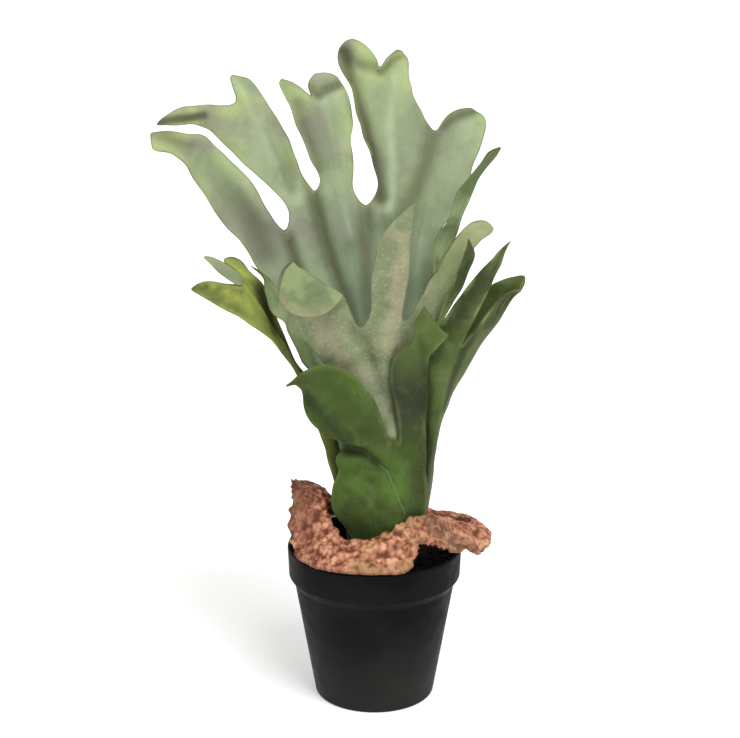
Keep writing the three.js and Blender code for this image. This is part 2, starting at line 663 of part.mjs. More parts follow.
function crown() {
  const profile = [
    [0, 0],
    [0.85, 0],
    [1, 0.2],
    [0.95, 0.5],
    [0.72, 0.8],
    [0.36, 0.96],
    [0, 1],
  ].map(([r, z]) => [r * CROWN_RADIUS, z * CROWN_HEIGHT]);
  const geometry = turned(profile, CROWN_SIDES);
  geometry.scale(1, CROWN_DEPTH_SCALE, 1);
  geometry.translate(...CROWN_CENTRE, FOOT);
  const mesh = new THREE.Mesh(geometry, ROOTSTOCK());
  mesh.name = "crown";
  return mesh;
}

const fern = new THREE.Group();
fern.add(
  pot(),
  pottingMix(),
  crown(),
  shieldFrond(),
  backFan(),
  frontFrond(),
  rightPointed(),
  rightSpoon(),
  leftOuter(),
  leftInner(),
);

export default fern;
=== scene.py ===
"""Dresses a potted staghorn fern around its packed frame: blades, shield frond, pot, mix and stage."""
import heapq
import math
import random

import bpy
import numpy as np
from bpy.props import FloatProperty, FloatVectorProperty, IntProperty, PointerProperty
from bpy.types import Operator, Panel, PropertyGroup
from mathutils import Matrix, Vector, kdtree, noise


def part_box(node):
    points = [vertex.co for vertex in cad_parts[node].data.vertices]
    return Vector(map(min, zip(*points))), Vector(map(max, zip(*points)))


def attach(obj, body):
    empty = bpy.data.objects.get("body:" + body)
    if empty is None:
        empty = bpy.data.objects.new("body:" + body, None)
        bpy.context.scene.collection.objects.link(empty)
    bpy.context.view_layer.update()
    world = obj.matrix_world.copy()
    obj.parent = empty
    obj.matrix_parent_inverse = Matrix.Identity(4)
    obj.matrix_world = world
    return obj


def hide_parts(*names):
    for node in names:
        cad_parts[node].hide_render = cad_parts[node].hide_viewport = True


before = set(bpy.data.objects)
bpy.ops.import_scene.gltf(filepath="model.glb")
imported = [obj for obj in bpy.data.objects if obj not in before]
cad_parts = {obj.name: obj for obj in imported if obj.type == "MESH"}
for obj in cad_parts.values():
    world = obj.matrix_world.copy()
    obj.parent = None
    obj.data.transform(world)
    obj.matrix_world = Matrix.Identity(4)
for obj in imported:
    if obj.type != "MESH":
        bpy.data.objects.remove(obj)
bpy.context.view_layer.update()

bl_info = {
    "name": "Staghorn Fern",
    "version": (1, 0, 0),
    "blender": (4, 5, 0),
    "location": "View3D > Sidebar > Fern",
    "description": "Adds a staghorn fern in a round plastic pot, piece by piece",
    "category": "Add Mesh",
}

MM = 0.001

# Thickness of the solids that the blades are copied from, and the height of the fronds' feet
BLADE_THICKNESS = 1.8 * MM
SHIELD_THICKNESS = 2.4 * MM
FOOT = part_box("frond_front")[0].z
# Sides of a blade, kept in its faces' material indices while it is shaped
FRONT, BACK, WALL = 0, 1, 2
# Within this distance two corners are one, and a length is taken as equal
JOINED = 0.02 * MM
# Band along a blade's margin that flutters and strays, the size of its strays, and the width of a calm place
# in millimetres
MARGIN_BAND = 14 * MM
STRAY_SIZE = 17 * MM
CALM_WIDTH = 13
# Lengths along a blade over which a fold and a rib change once, and the heights between which the folds rise
FOLD_RUN = 110 * MM
RIB_RUN = 60 * MM
FOLD_RISE = (FOOT + 40 * MM, FOOT + 230 * MM)


def srgb(red, green, blue):
    """A display colour from 0 to 255 as a linear colour."""
    shares = [value / 255 for value in (red, green, blue)]
    return [s / 12.92 if s <= 0.04045 else ((s + 0.055) / 1.055) ** 2.4 for s in shares]


def colour(name, description, *display):
    default = srgb(*display)
    kind = {"subtype": "COLOR", "size": 3, "min": 0, "max": 1}
    return FloatVectorProperty(name=name, description=description, default=default, **kind)


def length(name, description, millimetres):
    kind = {"unit": "LENGTH", "min": 0, "precision": 4}
    return FloatProperty(name=name, description=description, default=millimetres * MM, **kind)


def share(name, description, default):
    return FloatProperty(name=name, description=description, subtype="FACTOR", min=0, max=1, default=default)


def strength(name, description, default):
    return FloatProperty(name=name, description=description, min=0, default=default)


def number(name, description, default, low, high):
    return IntProperty(name=name, description=description, min=low, max=high, default=default)


class FernLeafSettings(PropertyGroup):
    """Sizes and colours of the green fronds."""

    rim_thickness: share("Rim thickness", "Thickness at the margin as a share of the solid's", 0.42)
    body_thickness: share("Body thickness", "Thickness away from the margin as a share of the solid's", 0.85)
    rim_width: length("Rim width", "Distance over which a blade thins to its margin", 6)
    fold_height: length("Fold height", "Height of the folds that run from the foot to the tips", 3)
    wave_height: length("Wave height", "Height of the soft waves along a blade", 2)
    wave_size: length("Wave size", "Distance between the soft waves", 38)
    flutter_height: length("Flutter height", "Height of the short waves along the margins", 2.6)
    flutter_size: length("Flutter size", "Distance between the short waves", 22)
    wander: length("Wander", "How far a margin strays from its smooth line", 1.6)
    rib_height: length("Rib height", "Height of the fine lengthwise ribs", 0.12)
    fan_light: colour("Fan light", "Lit sage green of the fan", 160, 174, 137)
    fan_middle: colour("Fan middle", "Grey-green of the fan", 136, 150, 118)
    # Painted shade: olive that darkens the fan's valleys
    fan_valley_shade: colour("Fan valley", "Olive green in the fan's valleys", 92, 100, 68)
    # Painted highlight on the fan's ridges, laid along the lit marks
    fan_lit: colour("Fan lit", "Pale green on the fan's ridges", 176, 194, 162)
    fan_shade: colour("Fan shade", "Olive grey in the fan's hollows", 88, 90, 62)
    fan_low: colour("Fan low", "Blue-green low in the fan", 126, 148, 122)
    fan_dust: colour("Fan dust", "Mauve-grey bloom on the fan", 140, 139, 122)
    fan_tip: colour("Fan tip", "Fresh green near the fan's tips", 172, 190, 122)
    scurf: colour("Scurf", "Sandy grey of the front frond's middle lobes", 160, 155, 126)
    scurf_light: colour("Scurf light", "Pale green-grey of the middle lobes", 140, 148, 116)
    scurf_green: colour("Scurf green", "Green that shows through the scurf", 116, 128, 92)
    grain_light: colour("Light grains", "Pale sandy grains in the scurf", 190, 184, 158)
    grain_dark: colour("Dark grains", "Olive grains in the scurf", 96, 94, 68)
    fold_edge: colour("Fold edge", "Sandy edge of the folded-over lobe", 146, 136, 106)
    # Pale olive of the third middle lobe, made lighter still as painted light where the lobe lies in shade
    third_lobe_tone_and_light: colour("Third lobe", "Pale olive green of the third middle lobe", 160, 168, 120)
    flap: colour("Flap", "Light green underside of the front frond", 136, 150, 104)
    sheath_deep: colour("Sheath deep", "Deep green of the sheath", 58, 71, 28)
    sheath_light: colour("Sheath light", "Lit green of the sheath", 79, 108, 42)
    # Painted shade: dark brown-green over the cupped lower blade of the fishtail lobe
    shaded_web: colour("Web", "Dark brown-green inside the fishtail lobe", 48, 52, 34)
    fishtail: colour("Fishtail", "Green of the fishtail lobe's top", 84, 102, 50)
    side_deep: colour("Side deep", "Deep green of the right-hand fronds", 54, 64, 32)
    side_light: colour("Side light", "Lit green of the right-hand fronds", 84, 100, 50)
    sunned: colour("Sunned", "Yellow olive where the right-hand frond is sunned", 124, 122, 60)
    spoon_deep: colour("Spoon deep", "Mid green of the spoon-shaped frond", 96, 112, 70)
    spoon_light: colour("Spoon light", "Lit green of the spoon-shaped frond", 146, 160, 116)
    olive_deep: colour("Olive deep", "Deep olive of the left-hand fronds", 74, 82, 38)
    olive_light: colour("Olive light", "Yellow-green of the left-hand fronds", 124, 132, 58)
    olive_tip: colour("Olive tip", "Fresh lime at the left-hand fronds' tips", 170, 180, 88)
    # Painted light: a yellow-green glow along the thin margins
    rim: colour("Rim", "Yellow-green along the margins", 160, 178, 104)
    edge: colour("Edge", "Dull brown line on the very margin", 88, 84, 58)
    vein: colour("Vein", "Pale fine veins", 140, 158, 108)
    shade: colour("Shade", "Dark green in hollows and between the veins", 34, 40, 20)


class FernShieldSettings(PropertyGroup):
    """Sizes and colours of the shield frond."""

    knob_size: length("Knob size", "Distance between neighbouring knobs", 6.6)
    knob_height: length("Knob height", "Height of the knobs", 2.1)
    fold_size: length("Fold size", "Distance between the soft folds", 21)
    fold_height: length("Fold height", "Height of the soft folds", 2.6)
    ragged: length("Ragged", "How far the torn margin strays", 2.8)
    copper: colour("Copper", "Copper brown of the knobs", 166, 103, 74)
    # Painted highlight on the tops of the knobs and on the streaks of the smooth flap
    painted_highlight: colour("Cap", "Worn tops of the knobs", 222, 166, 132)
    # Painted shade between the knobs, on the upright lobe and in the smooth flap's streaks; also the dark
    # patches and the dark margin
    dark_patches_and_shade: colour("Crevice", "Dark red-brown between the knobs", 98, 50, 31)
    straw: colour("Straw", "Yellow-tan patches along the inner crest", 164, 132, 84)
    underside: colour("Underside", "Tan underside and smooth part of the flap", 146, 108, 80)


class FernPotSettings(PropertyGroup):
    """Sizes and colours of the pot."""

    edge_round: length("Edge round", "Length cut back at each side of the pot's moulded edges", 0.7)
    sides: number("Sides", "Sides of the pot's circle", 160, 32, 256)
    plastic: colour("Plastic", "Black plastic", 11, 11, 11)
    # Painted sheen: the plastic greyer towards the foot, and in soft patches at random
    foot_sheen: colour("Worn", "Greyer plastic towards the foot", 42, 41, 40)
    scuff: colour("Scuff", "Pale scuffs", 120, 119, 116)
    roughness: share("Roughness", "Roughness of the plastic", 0.5)


class FernMixSettings(PropertyGroup):
    """Sizes and colours of the potting mix and the crown."""

    crumbs: number("Crumbs", "Number of loose crumbs", 520, 1, 900)
    crumb_size: length("Crumb size", "Radius of the larger crumbs", 2.1)
    grain_height: length("Grain height", "Roughness of the mix's surface", 1.1)
    peat: colour("Peat", "Damp peat", 17, 13, 11)
    bark: colour("Bark", "Bark crumbs", 46, 34, 24)
    rootstock: colour("Rootstock", "Brown scales of the crown", 92, 68, 44)
    seed: number("Seed", "Seed of the crumbs' places", 7, 0, 1000)


class FernStageSettings(PropertyGroup):
    """Camera, lights and floor."""

    eye_back: length("Eye back", "Distance of the eye in front of the pot", 1299)
    eye_height: length("Eye height", "Height of the eye", 646.35)
    tilt: FloatProperty(name="Tilt", description="Downward tilt", subtype="ANGLE", default=0.267)
    turn: FloatProperty(name="Turn", description="Turn to the left", subtype="ANGLE", default=0.003)
    focal_share: strength("Focal share", "Focal length over picture width", 2.1695)
    key: strength("Key light", "Strength of the main sun, at the front right", 2)
    fill: strength("Fill light", "Strength of the weaker sun, at the front left", 0.45)
    sky: strength("Sky light", "Strength of the even light from all around", 0.52)
    floor: colour("Floor", "Pale floor", 253, 253, 252)
    floor_mottle: colour("Floor mottle", "Faint mottling of the floor", 251, 251, 250)
    floor_glow: share("Floor glow", "Light of its own that the floor gives, like a lit table", 0.26)


def added(name, data):
    piece = bpy.data.objects.new(name, data)
    bpy.context.scene.collection.objects.link(piece)
    return piece


def select_only(*pieces):
    """Selects just these pieces and makes the last one active."""
    bpy.ops.object.select_all(action="DESELECT")
    for piece in pieces:
        piece.select_set(True)
    bpy.context.view_layer.objects.active = pieces[-1]


def edit(piece, chosen=None):
    """Opens a piece for editing with the chosen faces selected, or with all of them."""
    select_only(piece)
    bpy.ops.object.mode_set(mode="EDIT")
    bpy.ops.mesh.select_mode(type="FACE")
    bpy.ops.mesh.select_all(action="SELECT" if chosen is None else "DESELECT")
    if chosen is not None:
        bpy.ops.object.mode_set(mode="OBJECT")
        for index in chosen:
            piece.data.polygons[index].select = True
        bpy.ops.object.mode_set(mode="EDIT")


def finished(piece):
    bpy.ops.object.mode_set(mode="OBJECT")
    return piece


def apply_modifier(piece, kind, **settings):
    select_only(piece)
    modifier = piece.modifiers.new(kind.title(), kind)
    for key, value in settings.items():
        setattr(modifier, key, value)
    bpy.ops.object.modifier_apply(modifier=modifier.name)


def hand_over(piece, node, finish, smooth_angle=50):
    """Gives a finished piece its material and its place in the frame."""
    piece.data.materials.clear()
    piece.data.materials.append(finish)
    piece.data.polygons.foreach_set("material_index", [0] * len(piece.data.polygons))
    select_only(piece)
    bpy.ops.object.shade_smooth_by_angle(angle=math.radians(smooth_angle))
    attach(piece, "root")
    if node:
        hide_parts(node)


def points_of(mesh):
    flat = np.empty(len(mesh.vertices) * 3, np.float32)
    mesh.vertices.foreach_get("co", flat)
    return flat.reshape(-1, 3).astype(float)


def place_points(mesh, points):
    mesh.vertices.foreach_set("co", points.astype(np.float32).ravel())
    mesh.update()


def store(mesh, name, values):
    attribute = mesh.attributes.new(name, "FLOAT", "POINT")
    attribute.data.foreach_set("value", np.asarray(values, np.float32))


def stored(mesh, name):
    values = np.empty(len(mesh.vertices), np.float32)
    mesh.attributes[name].data.foreach_get("value", values)
    return values.astype(float)


def smoothstep(low, high, values):
    t = np.clip((values - low) / (high - low), 0, 1)
    return t * t * (3 - 2 * t)


def clouds(points, size, seed=0):
    """Soft noise from -1 to 1, with lumps of the given size."""
    shift = Vector((seed * 3.7, seed * 1.9, seed * 5.3))
    return np.array([noise.noise(Vector(p) / size + shift) for p in points])


def copy_of(node, name):
    """A copy of a solid with its doubled corners joined."""
    piece = added(name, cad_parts[node].data.copy())
    piece.data.materials.clear()
    edit(piece)
    bpy.ops.mesh.customdata_custom_splitnormals_clear()
    bpy.ops.mesh.remove_doubles(threshold=JOINED)
    return finished(piece)


def edges_of(mesh):
    """The two corners of every edge, and its length."""
    pairs = np.array([edge.vertices[:] for edge in mesh.edges])
    points = points_of(mesh)
    return pairs, np.linalg.norm(points[pairs[:, 0]] - points[pairs[:, 1]], axis=1)


def neighbours(pairs, measures):
    """For every corner the corners beside it, each with the measure of the edge between."""
    beside = [[] for _ in range(pairs.max() + 1)]
    for (a, b), measure in zip(pairs.tolist(), measures.tolist()):
        beside[a].append((b, measure))
        beside[b].append((a, measure))
    return beside


def label_sides(piece, thickness, facing):
    """Marks each face of a blade as front, back or wall, and pairs the triangles of each side. A wall's face
    has an edge as long as the blade is thick."""
    mesh = piece.data
    faces = mesh.polygons
    lengths = edges_of(mesh)[1]
    rungs = {edge.key for edge, size in zip(mesh.edges, lengths) if abs(size - thickness) < JOINED}
    beside = {}
    for face in faces:
        for key in face.edge_keys:
            beside.setdefault(key, []).append(face.index)
    open_faces = {face.index for face in faces if not rungs.intersection(face.edge_keys)}
    walls = set(range(len(faces))) - open_faces
    sheets = []
    while open_faces:
        group = [open_faces.pop()]
        for index in group:
            for key in faces[index].edge_keys:
                for other in beside[key]:
                    if other in open_faces:
                        open_faces.discard(other)
                        group.append(other)
        sheets.append(group)
    pair = sorted(sheets, key=len)[-2:]
    pair.sort(key=lambda group: sum(faces[i].normal.dot(facing) * faces[i].area for i in group))
    sides = np.full(len(faces), WALL)
    sides[pair[1]] = FRONT
    sides[pair[0]] = BACK
    for index in sorted(walls) * 2:
        for key in faces[index].edge_keys:
            for other in beside[key]:
                if sides[other] != WALL and faces[index].normal.dot(faces[other].normal) > 0.6:
                    sides[index] = sides[other]
    for _ in range(3):
        mesh.materials.append(None)
    faces.foreach_set("material_index", sides.astype(np.int32))
    edit(piece)
    bpy.ops.mesh.tris_convert_to_quads(
        face_threshold=math.radians(50), shape_threshold=math.radians(120), materials=True
    )
    finished(piece)


def crease_margins(mesh, sharpness, whole=()):
    """Keeps the margins of a blade's wall crisp when it is subdivided, and fully near the given lines."""
    walls = set()
    sheets = set()
    for face in mesh.polygons:
        (walls if face.material_index == WALL else sheets).update(face.edge_keys)
    points = points_of(mesh)
    creased = np.full(len(points), sharpness)
    for line in whole:
        creased[distance_to_line(points, line) < 12 * MM] = 1
    margins = walls & sheets
    values = [min(creased[list(edge.key)]) * (edge.key in margins) for edge in mesh.edges]
    mesh.attributes.new("crease_edge", "FLOAT", "EDGE").data.foreach_set("value", values)


def tree_of(points):
    tree = kdtree.KDTree(len(points))
    for index, point in enumerate(points):
        tree.insert(point, index)
    tree.balance()
    return tree


def nearest(targets, queries):
    """For each query point the index of the nearest target, and its distance."""
    tree = tree_of(targets)
    found = [tree.find(point) for point in queries]
    return np.array([f[1] for f in found]), np.array([f[2] for f in found])


def spread(mesh, starts):
    """The distance of every corner from the nearest start, along the mesh's edges."""
    beside = neighbours(*edges_of(mesh))
    far = np.full(len(beside), np.inf)
    far[starts] = 0
    queue = sorted((0.0, start) for start in starts.tolist())
    while queue:
        distance, here = heapq.heappop(queue)
        if distance > far[here]:
            continue
        for other, step in beside[here]:
            if distance + step < far[other]:
                far[other] = distance + step
                heapq.heappush(queue, (far[other], other))
    return far


def store_veins(mesh, feet):
    """Stores where at the foot, from 0 to 1, each corner's vein begins. The veins run as rain would that
    falls evenly on the blade and drains to its foot: they follow the margins and part at each fork."""
    points = points_of(mesh)
    pairs, lengths = edges_of(mesh)
    width = 1 / lengths
    count = len(points)
    drain = np.zeros((count, count))
    for here, there in (pairs.T, pairs.T[::-1]):
        np.add.at(drain, (here, here), width)
        np.add.at(drain, (here, there), -width)
    rain = np.ones(count)
    drain[feet] = 0
    drain[feet, feet] = 1
    rain[feet] = 0
    level = np.linalg.solve(drain, rain)
    row = points[feet] - points[feet].mean(axis=0)
    along = np.linalg.svd(row)[2][0]
    begin = row @ (along * np.sign(along[np.argmax(abs(along))]))
    vein = np.zeros(count)
    vein[feet] = (begin - begin.min()) / np.ptp(begin)
    beside = neighbours(pairs, width)
    placed = set(feet)
    for here in np.argsort(level):
        if here not in placed:
            flows = [(wide * (level[here] - level[other]), vein[other]) for other, wide in beside[here]]
            lower = [(flow, start) for flow, start in flows if flow > 0]
            vein[here] = sum(flow * start for flow, start in lower) / sum(flow for flow, _ in lower)
    store(mesh, "vein", vein)


def distance_to_line(points, line, signed=False):
    """Every point's distance from a line through places in millimetres, if signed below 0 on its left."""
    places = [np.array(place) * MM for place in line]
    best = np.full(len(points), np.inf)
    left = np.ones(len(points))
    for start, end in zip(places, places[1:]):
        run = end - start
        along = np.clip((points - start) @ run / (run @ run), 0, 1)
        offset = points - start - along[:, None] * run
        distance = np.linalg.norm(offset, axis=1)
        turn = np.where(run[2] * offset[:, 0] - run[0] * offset[:, 2] < 0, -1, 1)
        left = np.where(distance < best, turn, left)
        best = np.minimum(best, distance)
    return best * left if signed else best


def nearness(points, line, width):
    """1 on a line through places in millimetres, fading to 0 over about twice the width."""
    return np.exp(-((distance_to_line(points, line) / (width * MM)) ** 2))


def store_regions(mesh, regions, blend):
    """Stores for each named region how much of every corner is its own, from points that lie in it."""
    points = points_of(mesh)
    distances = {}
    for name, places in regions.items():
        starts = nearest(points, [Vector(place) * MM for place in places])[0]
        distances[name] = spread(mesh, starts)
    weights = {name: np.exp(-np.minimum(far / blend, 60)) for name, far in distances.items()}
    total = sum(weights.values()) + 1e-30
    for name, weight in weights.items():
        store(mesh, name, weight / total)


def side_of(mesh, points):
    """For every corner of a blade the middle of its thickness, the way the front faces, its side from 1 to -1
    and half the thickness, and then the corners of the wall."""
    sides = {FRONT: set(), BACK: set(), WALL: set()}
    for face in mesh.polygons:
        sides[face.material_index].update(face.vertices)
    front = np.array(sorted(sides[FRONT] - sides[BACK]))
    back = np.array(sorted(sides[BACK] - sides[FRONT]))
    walls = np.array(sorted(sides[WALL]))
    front_points = points[front][nearest(points[front], points)[0]]
    back_points = points[back][nearest(points[back], points)[0]]
    middle = (front_points + back_points) / 2
    way = front_points - back_points
    half = np.linalg.norm(way, axis=1, keepdims=True) / 2
    way /= 2 * half
    side = np.einsum("ij,ij->i", points - middle, way)[:, None] / half
    return middle, smoothed(mesh, way), np.clip(side, -1, 1), half, walls


def smoothed(mesh, ways, rounds=3):
    """Evens directions out over the neighbouring corners."""
    first, second = edges_of(mesh)[0].T
    for _ in range(rounds):
        total = ways.copy()
        np.add.at(total, first, ways[second])
        np.add.at(total, second, ways[first])
        ways = total / np.linalg.norm(total, axis=1, keepdims=True)
    return ways


class Finish:
    """A procedural material, built node by node on object coordinates."""

    def __init__(self, name, roughness, specular=0.35):
        self.material = bpy.data.materials.new(name)
        self.material.use_nodes = True
        self.tree = self.material.node_tree
        self.shader = self.tree.nodes["Principled BSDF"]
        self.shader.inputs["Roughness"].default_value = roughness
        self.shader.inputs["Specular IOR Level"].default_value = specular
        self.place = self.node("TexCoord").outputs["Object"]

    def node(self, kind, feeds=(), **settings):
        """A new shader node with its sockets fed, from the end of its type's name."""
        made = self.tree.nodes.new("ShaderNode" + kind)
        for key, value in settings.items():
            setattr(made, key, value)
        for socket, value in feeds:
            self.feed(made.inputs[socket], value)
        return made

    def feed(self, socket, value):
        if isinstance(value, bpy.types.NodeSocket):
            self.tree.links.new(value, socket)
        elif socket.type == "RGBA":
            socket.default_value = (*value, 1)
        else:
            socket.default_value = value

    def noise(self, scale, detail=2, roughness=0.5, stretch=(1, 1, 1), place=None):
        mapped = self.node("Mapping", [("Vector", place or self.place), ("Scale", stretch)])
        made = self.node(
            "TexNoise",
            [("Vector", mapped.outputs[0]), ("Scale", scale), ("Detail", detail), ("Roughness", roughness)],
        )
        return made.outputs["Fac"]

    def cells(self, scale):
        return self.node("TexVoronoi", [("Vector", self.place), ("Scale", scale)]).outputs["Distance"]

    def measure(self, name):
        """An axis of the object's coordinates in metres, or a value that is stored on the mesh."""
        if name in "XYZ":
            return self.node("SeparateXYZ", [("Vector", self.place)]).outputs[name]
        return self.node("Attribute", attribute_name=name).outputs["Fac"]

    def step(self, value, low, high, start=0.0, end=1.0):
        """Runs smoothly from start at low to end at high."""
        made = self.node(
            "MapRange",
            [("Value", value), ("From Min", low), ("From Max", high), ("To Min", start), ("To Max", end)],
            interpolation_type="SMOOTHSTEP",
        )
        return made.outputs["Result"]

    def by(self, name, *steps):
        """A step along a measure."""
        return self.step(self.measure(name), *steps)

    def cloud(self, scale, detail, *steps, roughness=0.5):
        """A step through a noise."""
        return self.step(self.noise(scale, detail, roughness), *steps)

    def math(self, operation, first, second=0.0):
        return self.node("Math", [(0, first), (1, second)], operation=operation).outputs[0]

    def both(self, *shares):
        """The product of all the shares."""
        result = shares[0]
        for other in shares[1:]:
            result = self.math("MULTIPLY", result, other)
        return result

    def layers(self, tone, *coats):
        """A tone with coats laid over it. A coat is its shares, which are multiplied, and then its tone."""
        for *shares, over in coats:
            made = self.node("Mix", data_type="RGBA")
            for socket, value in ((0, self.both(*shares)), (6, tone), (7, over)):
                self.feed(made.inputs[socket], value)
            tone = made.outputs[2]
        return tone

    def along(self, across_scale, along_scale, detail=3):
        """Streaks that follow the veins from the foot to the tips."""
        across = self.math("MULTIPLY", self.measure("vein"), across_scale)
        reach = self.math("MULTIPLY", self.measure("reach"), along_scale)
        place = self.node("CombineXYZ", [("X", across), ("Y", reach)]).outputs[0]
        return self.noise(1, detail, place=place)

    def bump(self, *layers):
        """Adds relief from pairs of a height and the depth of its full range."""
        normal = None
        for height, depth in layers:
            made = self.node("Bump", [("Height", height), ("Distance", depth)])
            if normal:
                self.feed(made.inputs["Normal"], normal)
            normal = made.outputs["Normal"]
        self.feed(self.shader.inputs["Normal"], normal)

    def done(self, tone, roughness=None):
        self.feed(self.shader.inputs["Base Color"], tone)
        if roughness:
            self.feed(self.shader.inputs["Roughness"], roughness)
        return self.material


def blade_end(skin, tone, veins, rim_glow_share=0.4, hollow_shade_share=0.8, shade=None, vein_share=0.16):
    """The layers that every green blade ends with: painted shade in the hollows, a painted lit rim, brown
    edge, veins, flecks and relief.
    """
    looks = bpy.context.scene.fern_leaf
    shade = shade or looks.shade
    mottle = skin.noise(70, 3, 0.6)
    streak = skin.along(veins, 9)
    line = skin.math("ABSOLUTE", skin.math("SUBTRACT", skin.along(veins * 0.4, 4, 2), 0.5))
    margin = skin.by("rim", 0.25 * MM, 1.1 * MM, 0.75, 0)
    off_fold = skin.math("SUBTRACT", 1, skin.measure("fold_line"))
    tone = skin.layers(
        tone,
        (skin.step(mottle, 0.45, 0.8, 0, 0.2), shade),
        (skin.step(mottle, 0.24, 0.46, 0.12, 0), looks.vein),
        # Painted shade where the marks lie in hollows
        (skin.by("hollow_shade", 0.05, 1, 0, hollow_shade_share), shade),
        # Painted light glowing along the margins
        (skin.by("rim", 0.3 * MM, 4.5 * MM, rim_glow_share, 0), skin.cloud(31, 2, 0.42, 0.6), looks.rim),
        (margin, skin.cloud(45, 2, 0.34, 0.54, 0.15, 1), off_fold, looks.edge),
        (skin.step(streak, 0.5, 0.8, 0, 0.1), shade),
        (skin.step(line, 0.004, 0.025, vein_share, 0), skin.cloud(28, 2, 0.42, 0.6), looks.vein),
        (skin.step(skin.cells(520), 0.12, 0.26, 0.3, 0), skin.cloud(55, 2, 0.5, 0.68), looks.vein),
    )
    skin.bump((mottle, 1.2 * MM), (streak, 0.2 * MM), (skin.noise(1400, 2, 0.7), 0.07 * MM))
    return skin.done(tone, skin.cloud(24, 3, 0.3, 0.7, 0.5, 0.68))


def fan_finish():
    looks = bpy.context.scene.fern_leaf
    skin = Finish("pale_sage_blade", 0.6, 0.22)
    leftward = skin.by("X", -60 * MM, 60 * MM, 0.9, 0.2)
    near_rim = skin.by("rim", 2 * MM, 20 * MM, 0.75, 0.2)
    tone = skin.layers(
        looks.fan_middle,
        (skin.cloud(13, 4, 0.36, 0.62, roughness=0.6), looks.fan_light),
        # Painted shade of the fan's valleys, in olive streaks along the veins
        (skin.step(skin.along(8, 3, 2), 0.48, 0.75, 0, 0.55), looks.fan_valley_shade),
        (skin.cloud(17, 4, 0.4, 0.6, roughness=0.6), leftward, looks.fan_dust),
        (skin.by("Z", 0.29, 0.44, 0.85, 0), skin.cloud(22, 3, 0.3, 0.6, 0.55, 1), looks.fan_low),
        # Painted highlight along the lit marks
        (skin.by("lit", 0, 1, 0, 0.8), looks.fan_lit),
        (skin.by("reach", 0.3, 0.42), skin.cloud(30, 3, 0.36, 0.62), near_rim, looks.fan_tip),
        (skin.by("under", 0.4, 0.7, 0, 0.5), looks.fan_dust),
    )
    return blade_end(skin, tone, 90, hollow_shade_share=0.95, shade=looks.fan_shade)


def front_finish():
    looks = bpy.context.scene.fern_leaf
    skin = Finish("mealy_front_blade", 0.62, 0.16)
    under = skin.by("under", 0.4, 0.7)
    sandy = skin.noise(430, 3, 0.75)
    drift = skin.math("ADD", skin.measure("sand"), skin.cloud(60, 3, 0.35, 0.65, -0.35, 0.3))
    mealy = skin.layers(
        looks.scurf_green,
        (skin.cloud(24, 4, 0.38, 0.62, roughness=0.6), looks.scurf_light),
        (skin.step(drift, 0, 0.9, 0, 0.7), looks.scurf),
        (skin.step(sandy, 0.54, 0.7, 0, 0.45), looks.grain_light),
        (skin.step(sandy, 0.3, 0.44, 0.35, 0), looks.grain_dark),
        # The third lobe's own pale olive together with painted light
        (skin.by("X", 45 * MM, 70 * MM, 0, 0.85), looks.third_lobe_tone_and_light),
        (under, skin.layers(looks.flap, (skin.cloud(60, 3, 0.42, 0.62), looks.scurf_green))),
        (skin.by("fold_line", 0.1, 0.9), skin.step(sandy, 0.4, 0.56, 0.1, 0.9), 0.9, looks.fold_edge),
    )
    rib = skin.math("ABSOLUTE", skin.measure("midrib"))
    leaf = skin.layers(
        looks.sheath_deep,
        (skin.cloud(17, 4, 0.38, 0.62, roughness=0.6), looks.sheath_light),
        (skin.by("Z", 0.205, 0.25), skin.cloud(25, 3, 0.36, 0.6, 0.3, 0.8), looks.sheath_deep),
        # Darker towards the sheath's right side
        (skin.by("X", 20 * MM, 44 * MM, 0, 0.9), looks.sheath_deep),
        (skin.step(rib, 0.15 * MM, 0.8 * MM, 0.4, 0), looks.vein),
        (skin.step(rib, 0.8 * MM, 4 * MM, 0.2, 0), looks.shade),
    )
    # Painted shade over the fishtail lobe's cupped web, with its own green at the top
    shaded_web = skin.layers(
        looks.shaded_web,
        (skin.by("Z", 0.272, 0.325), looks.fishtail),
        (skin.by("Z", 0.232, 0.27, 1, 0), looks.sheath_deep),
        (under, looks.fishtail),
    )
    lean = skin.math("SUBTRACT", skin.measure("fishtail"), skin.measure("sheath"))
    tone = skin.layers(
        leaf,
        (skin.step(lean, -0.4, 0.4), shaded_web),
        # Painted shade on the lower right of the sheath
        (skin.by("X", 18 * MM, 34 * MM, 0, 0.3), skin.by("Z", 0.21, 0.25, 1, 0), looks.shade),
        (skin.by("mealy", 0.36, 0.7), mealy),
    )
    return blade_end(skin, tone, 50, rim_glow_share=0.14, vein_share=0.06)


def side_finish(name, deep, light, underside, tip=None, patch=None):
    skin = Finish(name, 0.56, 0.18)
    coats = [
        (skin.cloud(20, 4, 0.36, 0.62, roughness=0.6), light),
        (skin.step(skin.along(5, 3), 0.46, 0.72, 0, 0.7), deep),
    ]
    if tip:
        coats.append((skin.by("reach", 0.2, 0.3), skin.cloud(34, 3, 0.34, 0.6), tip))
    if patch:
        place = skin.math("ADD", skin.measure("patch"), skin.cloud(90, 3, 0.35, 0.65, -0.15, 0.15))
        coats.append((skin.step(place, 0.25, 0.6, 0, 0.85), patch))
    coats.append((skin.by("under", 0.4, 0.7, 0, 0.7), underside))
    return blade_end(skin, skin.layers(deep, *coats), 36)
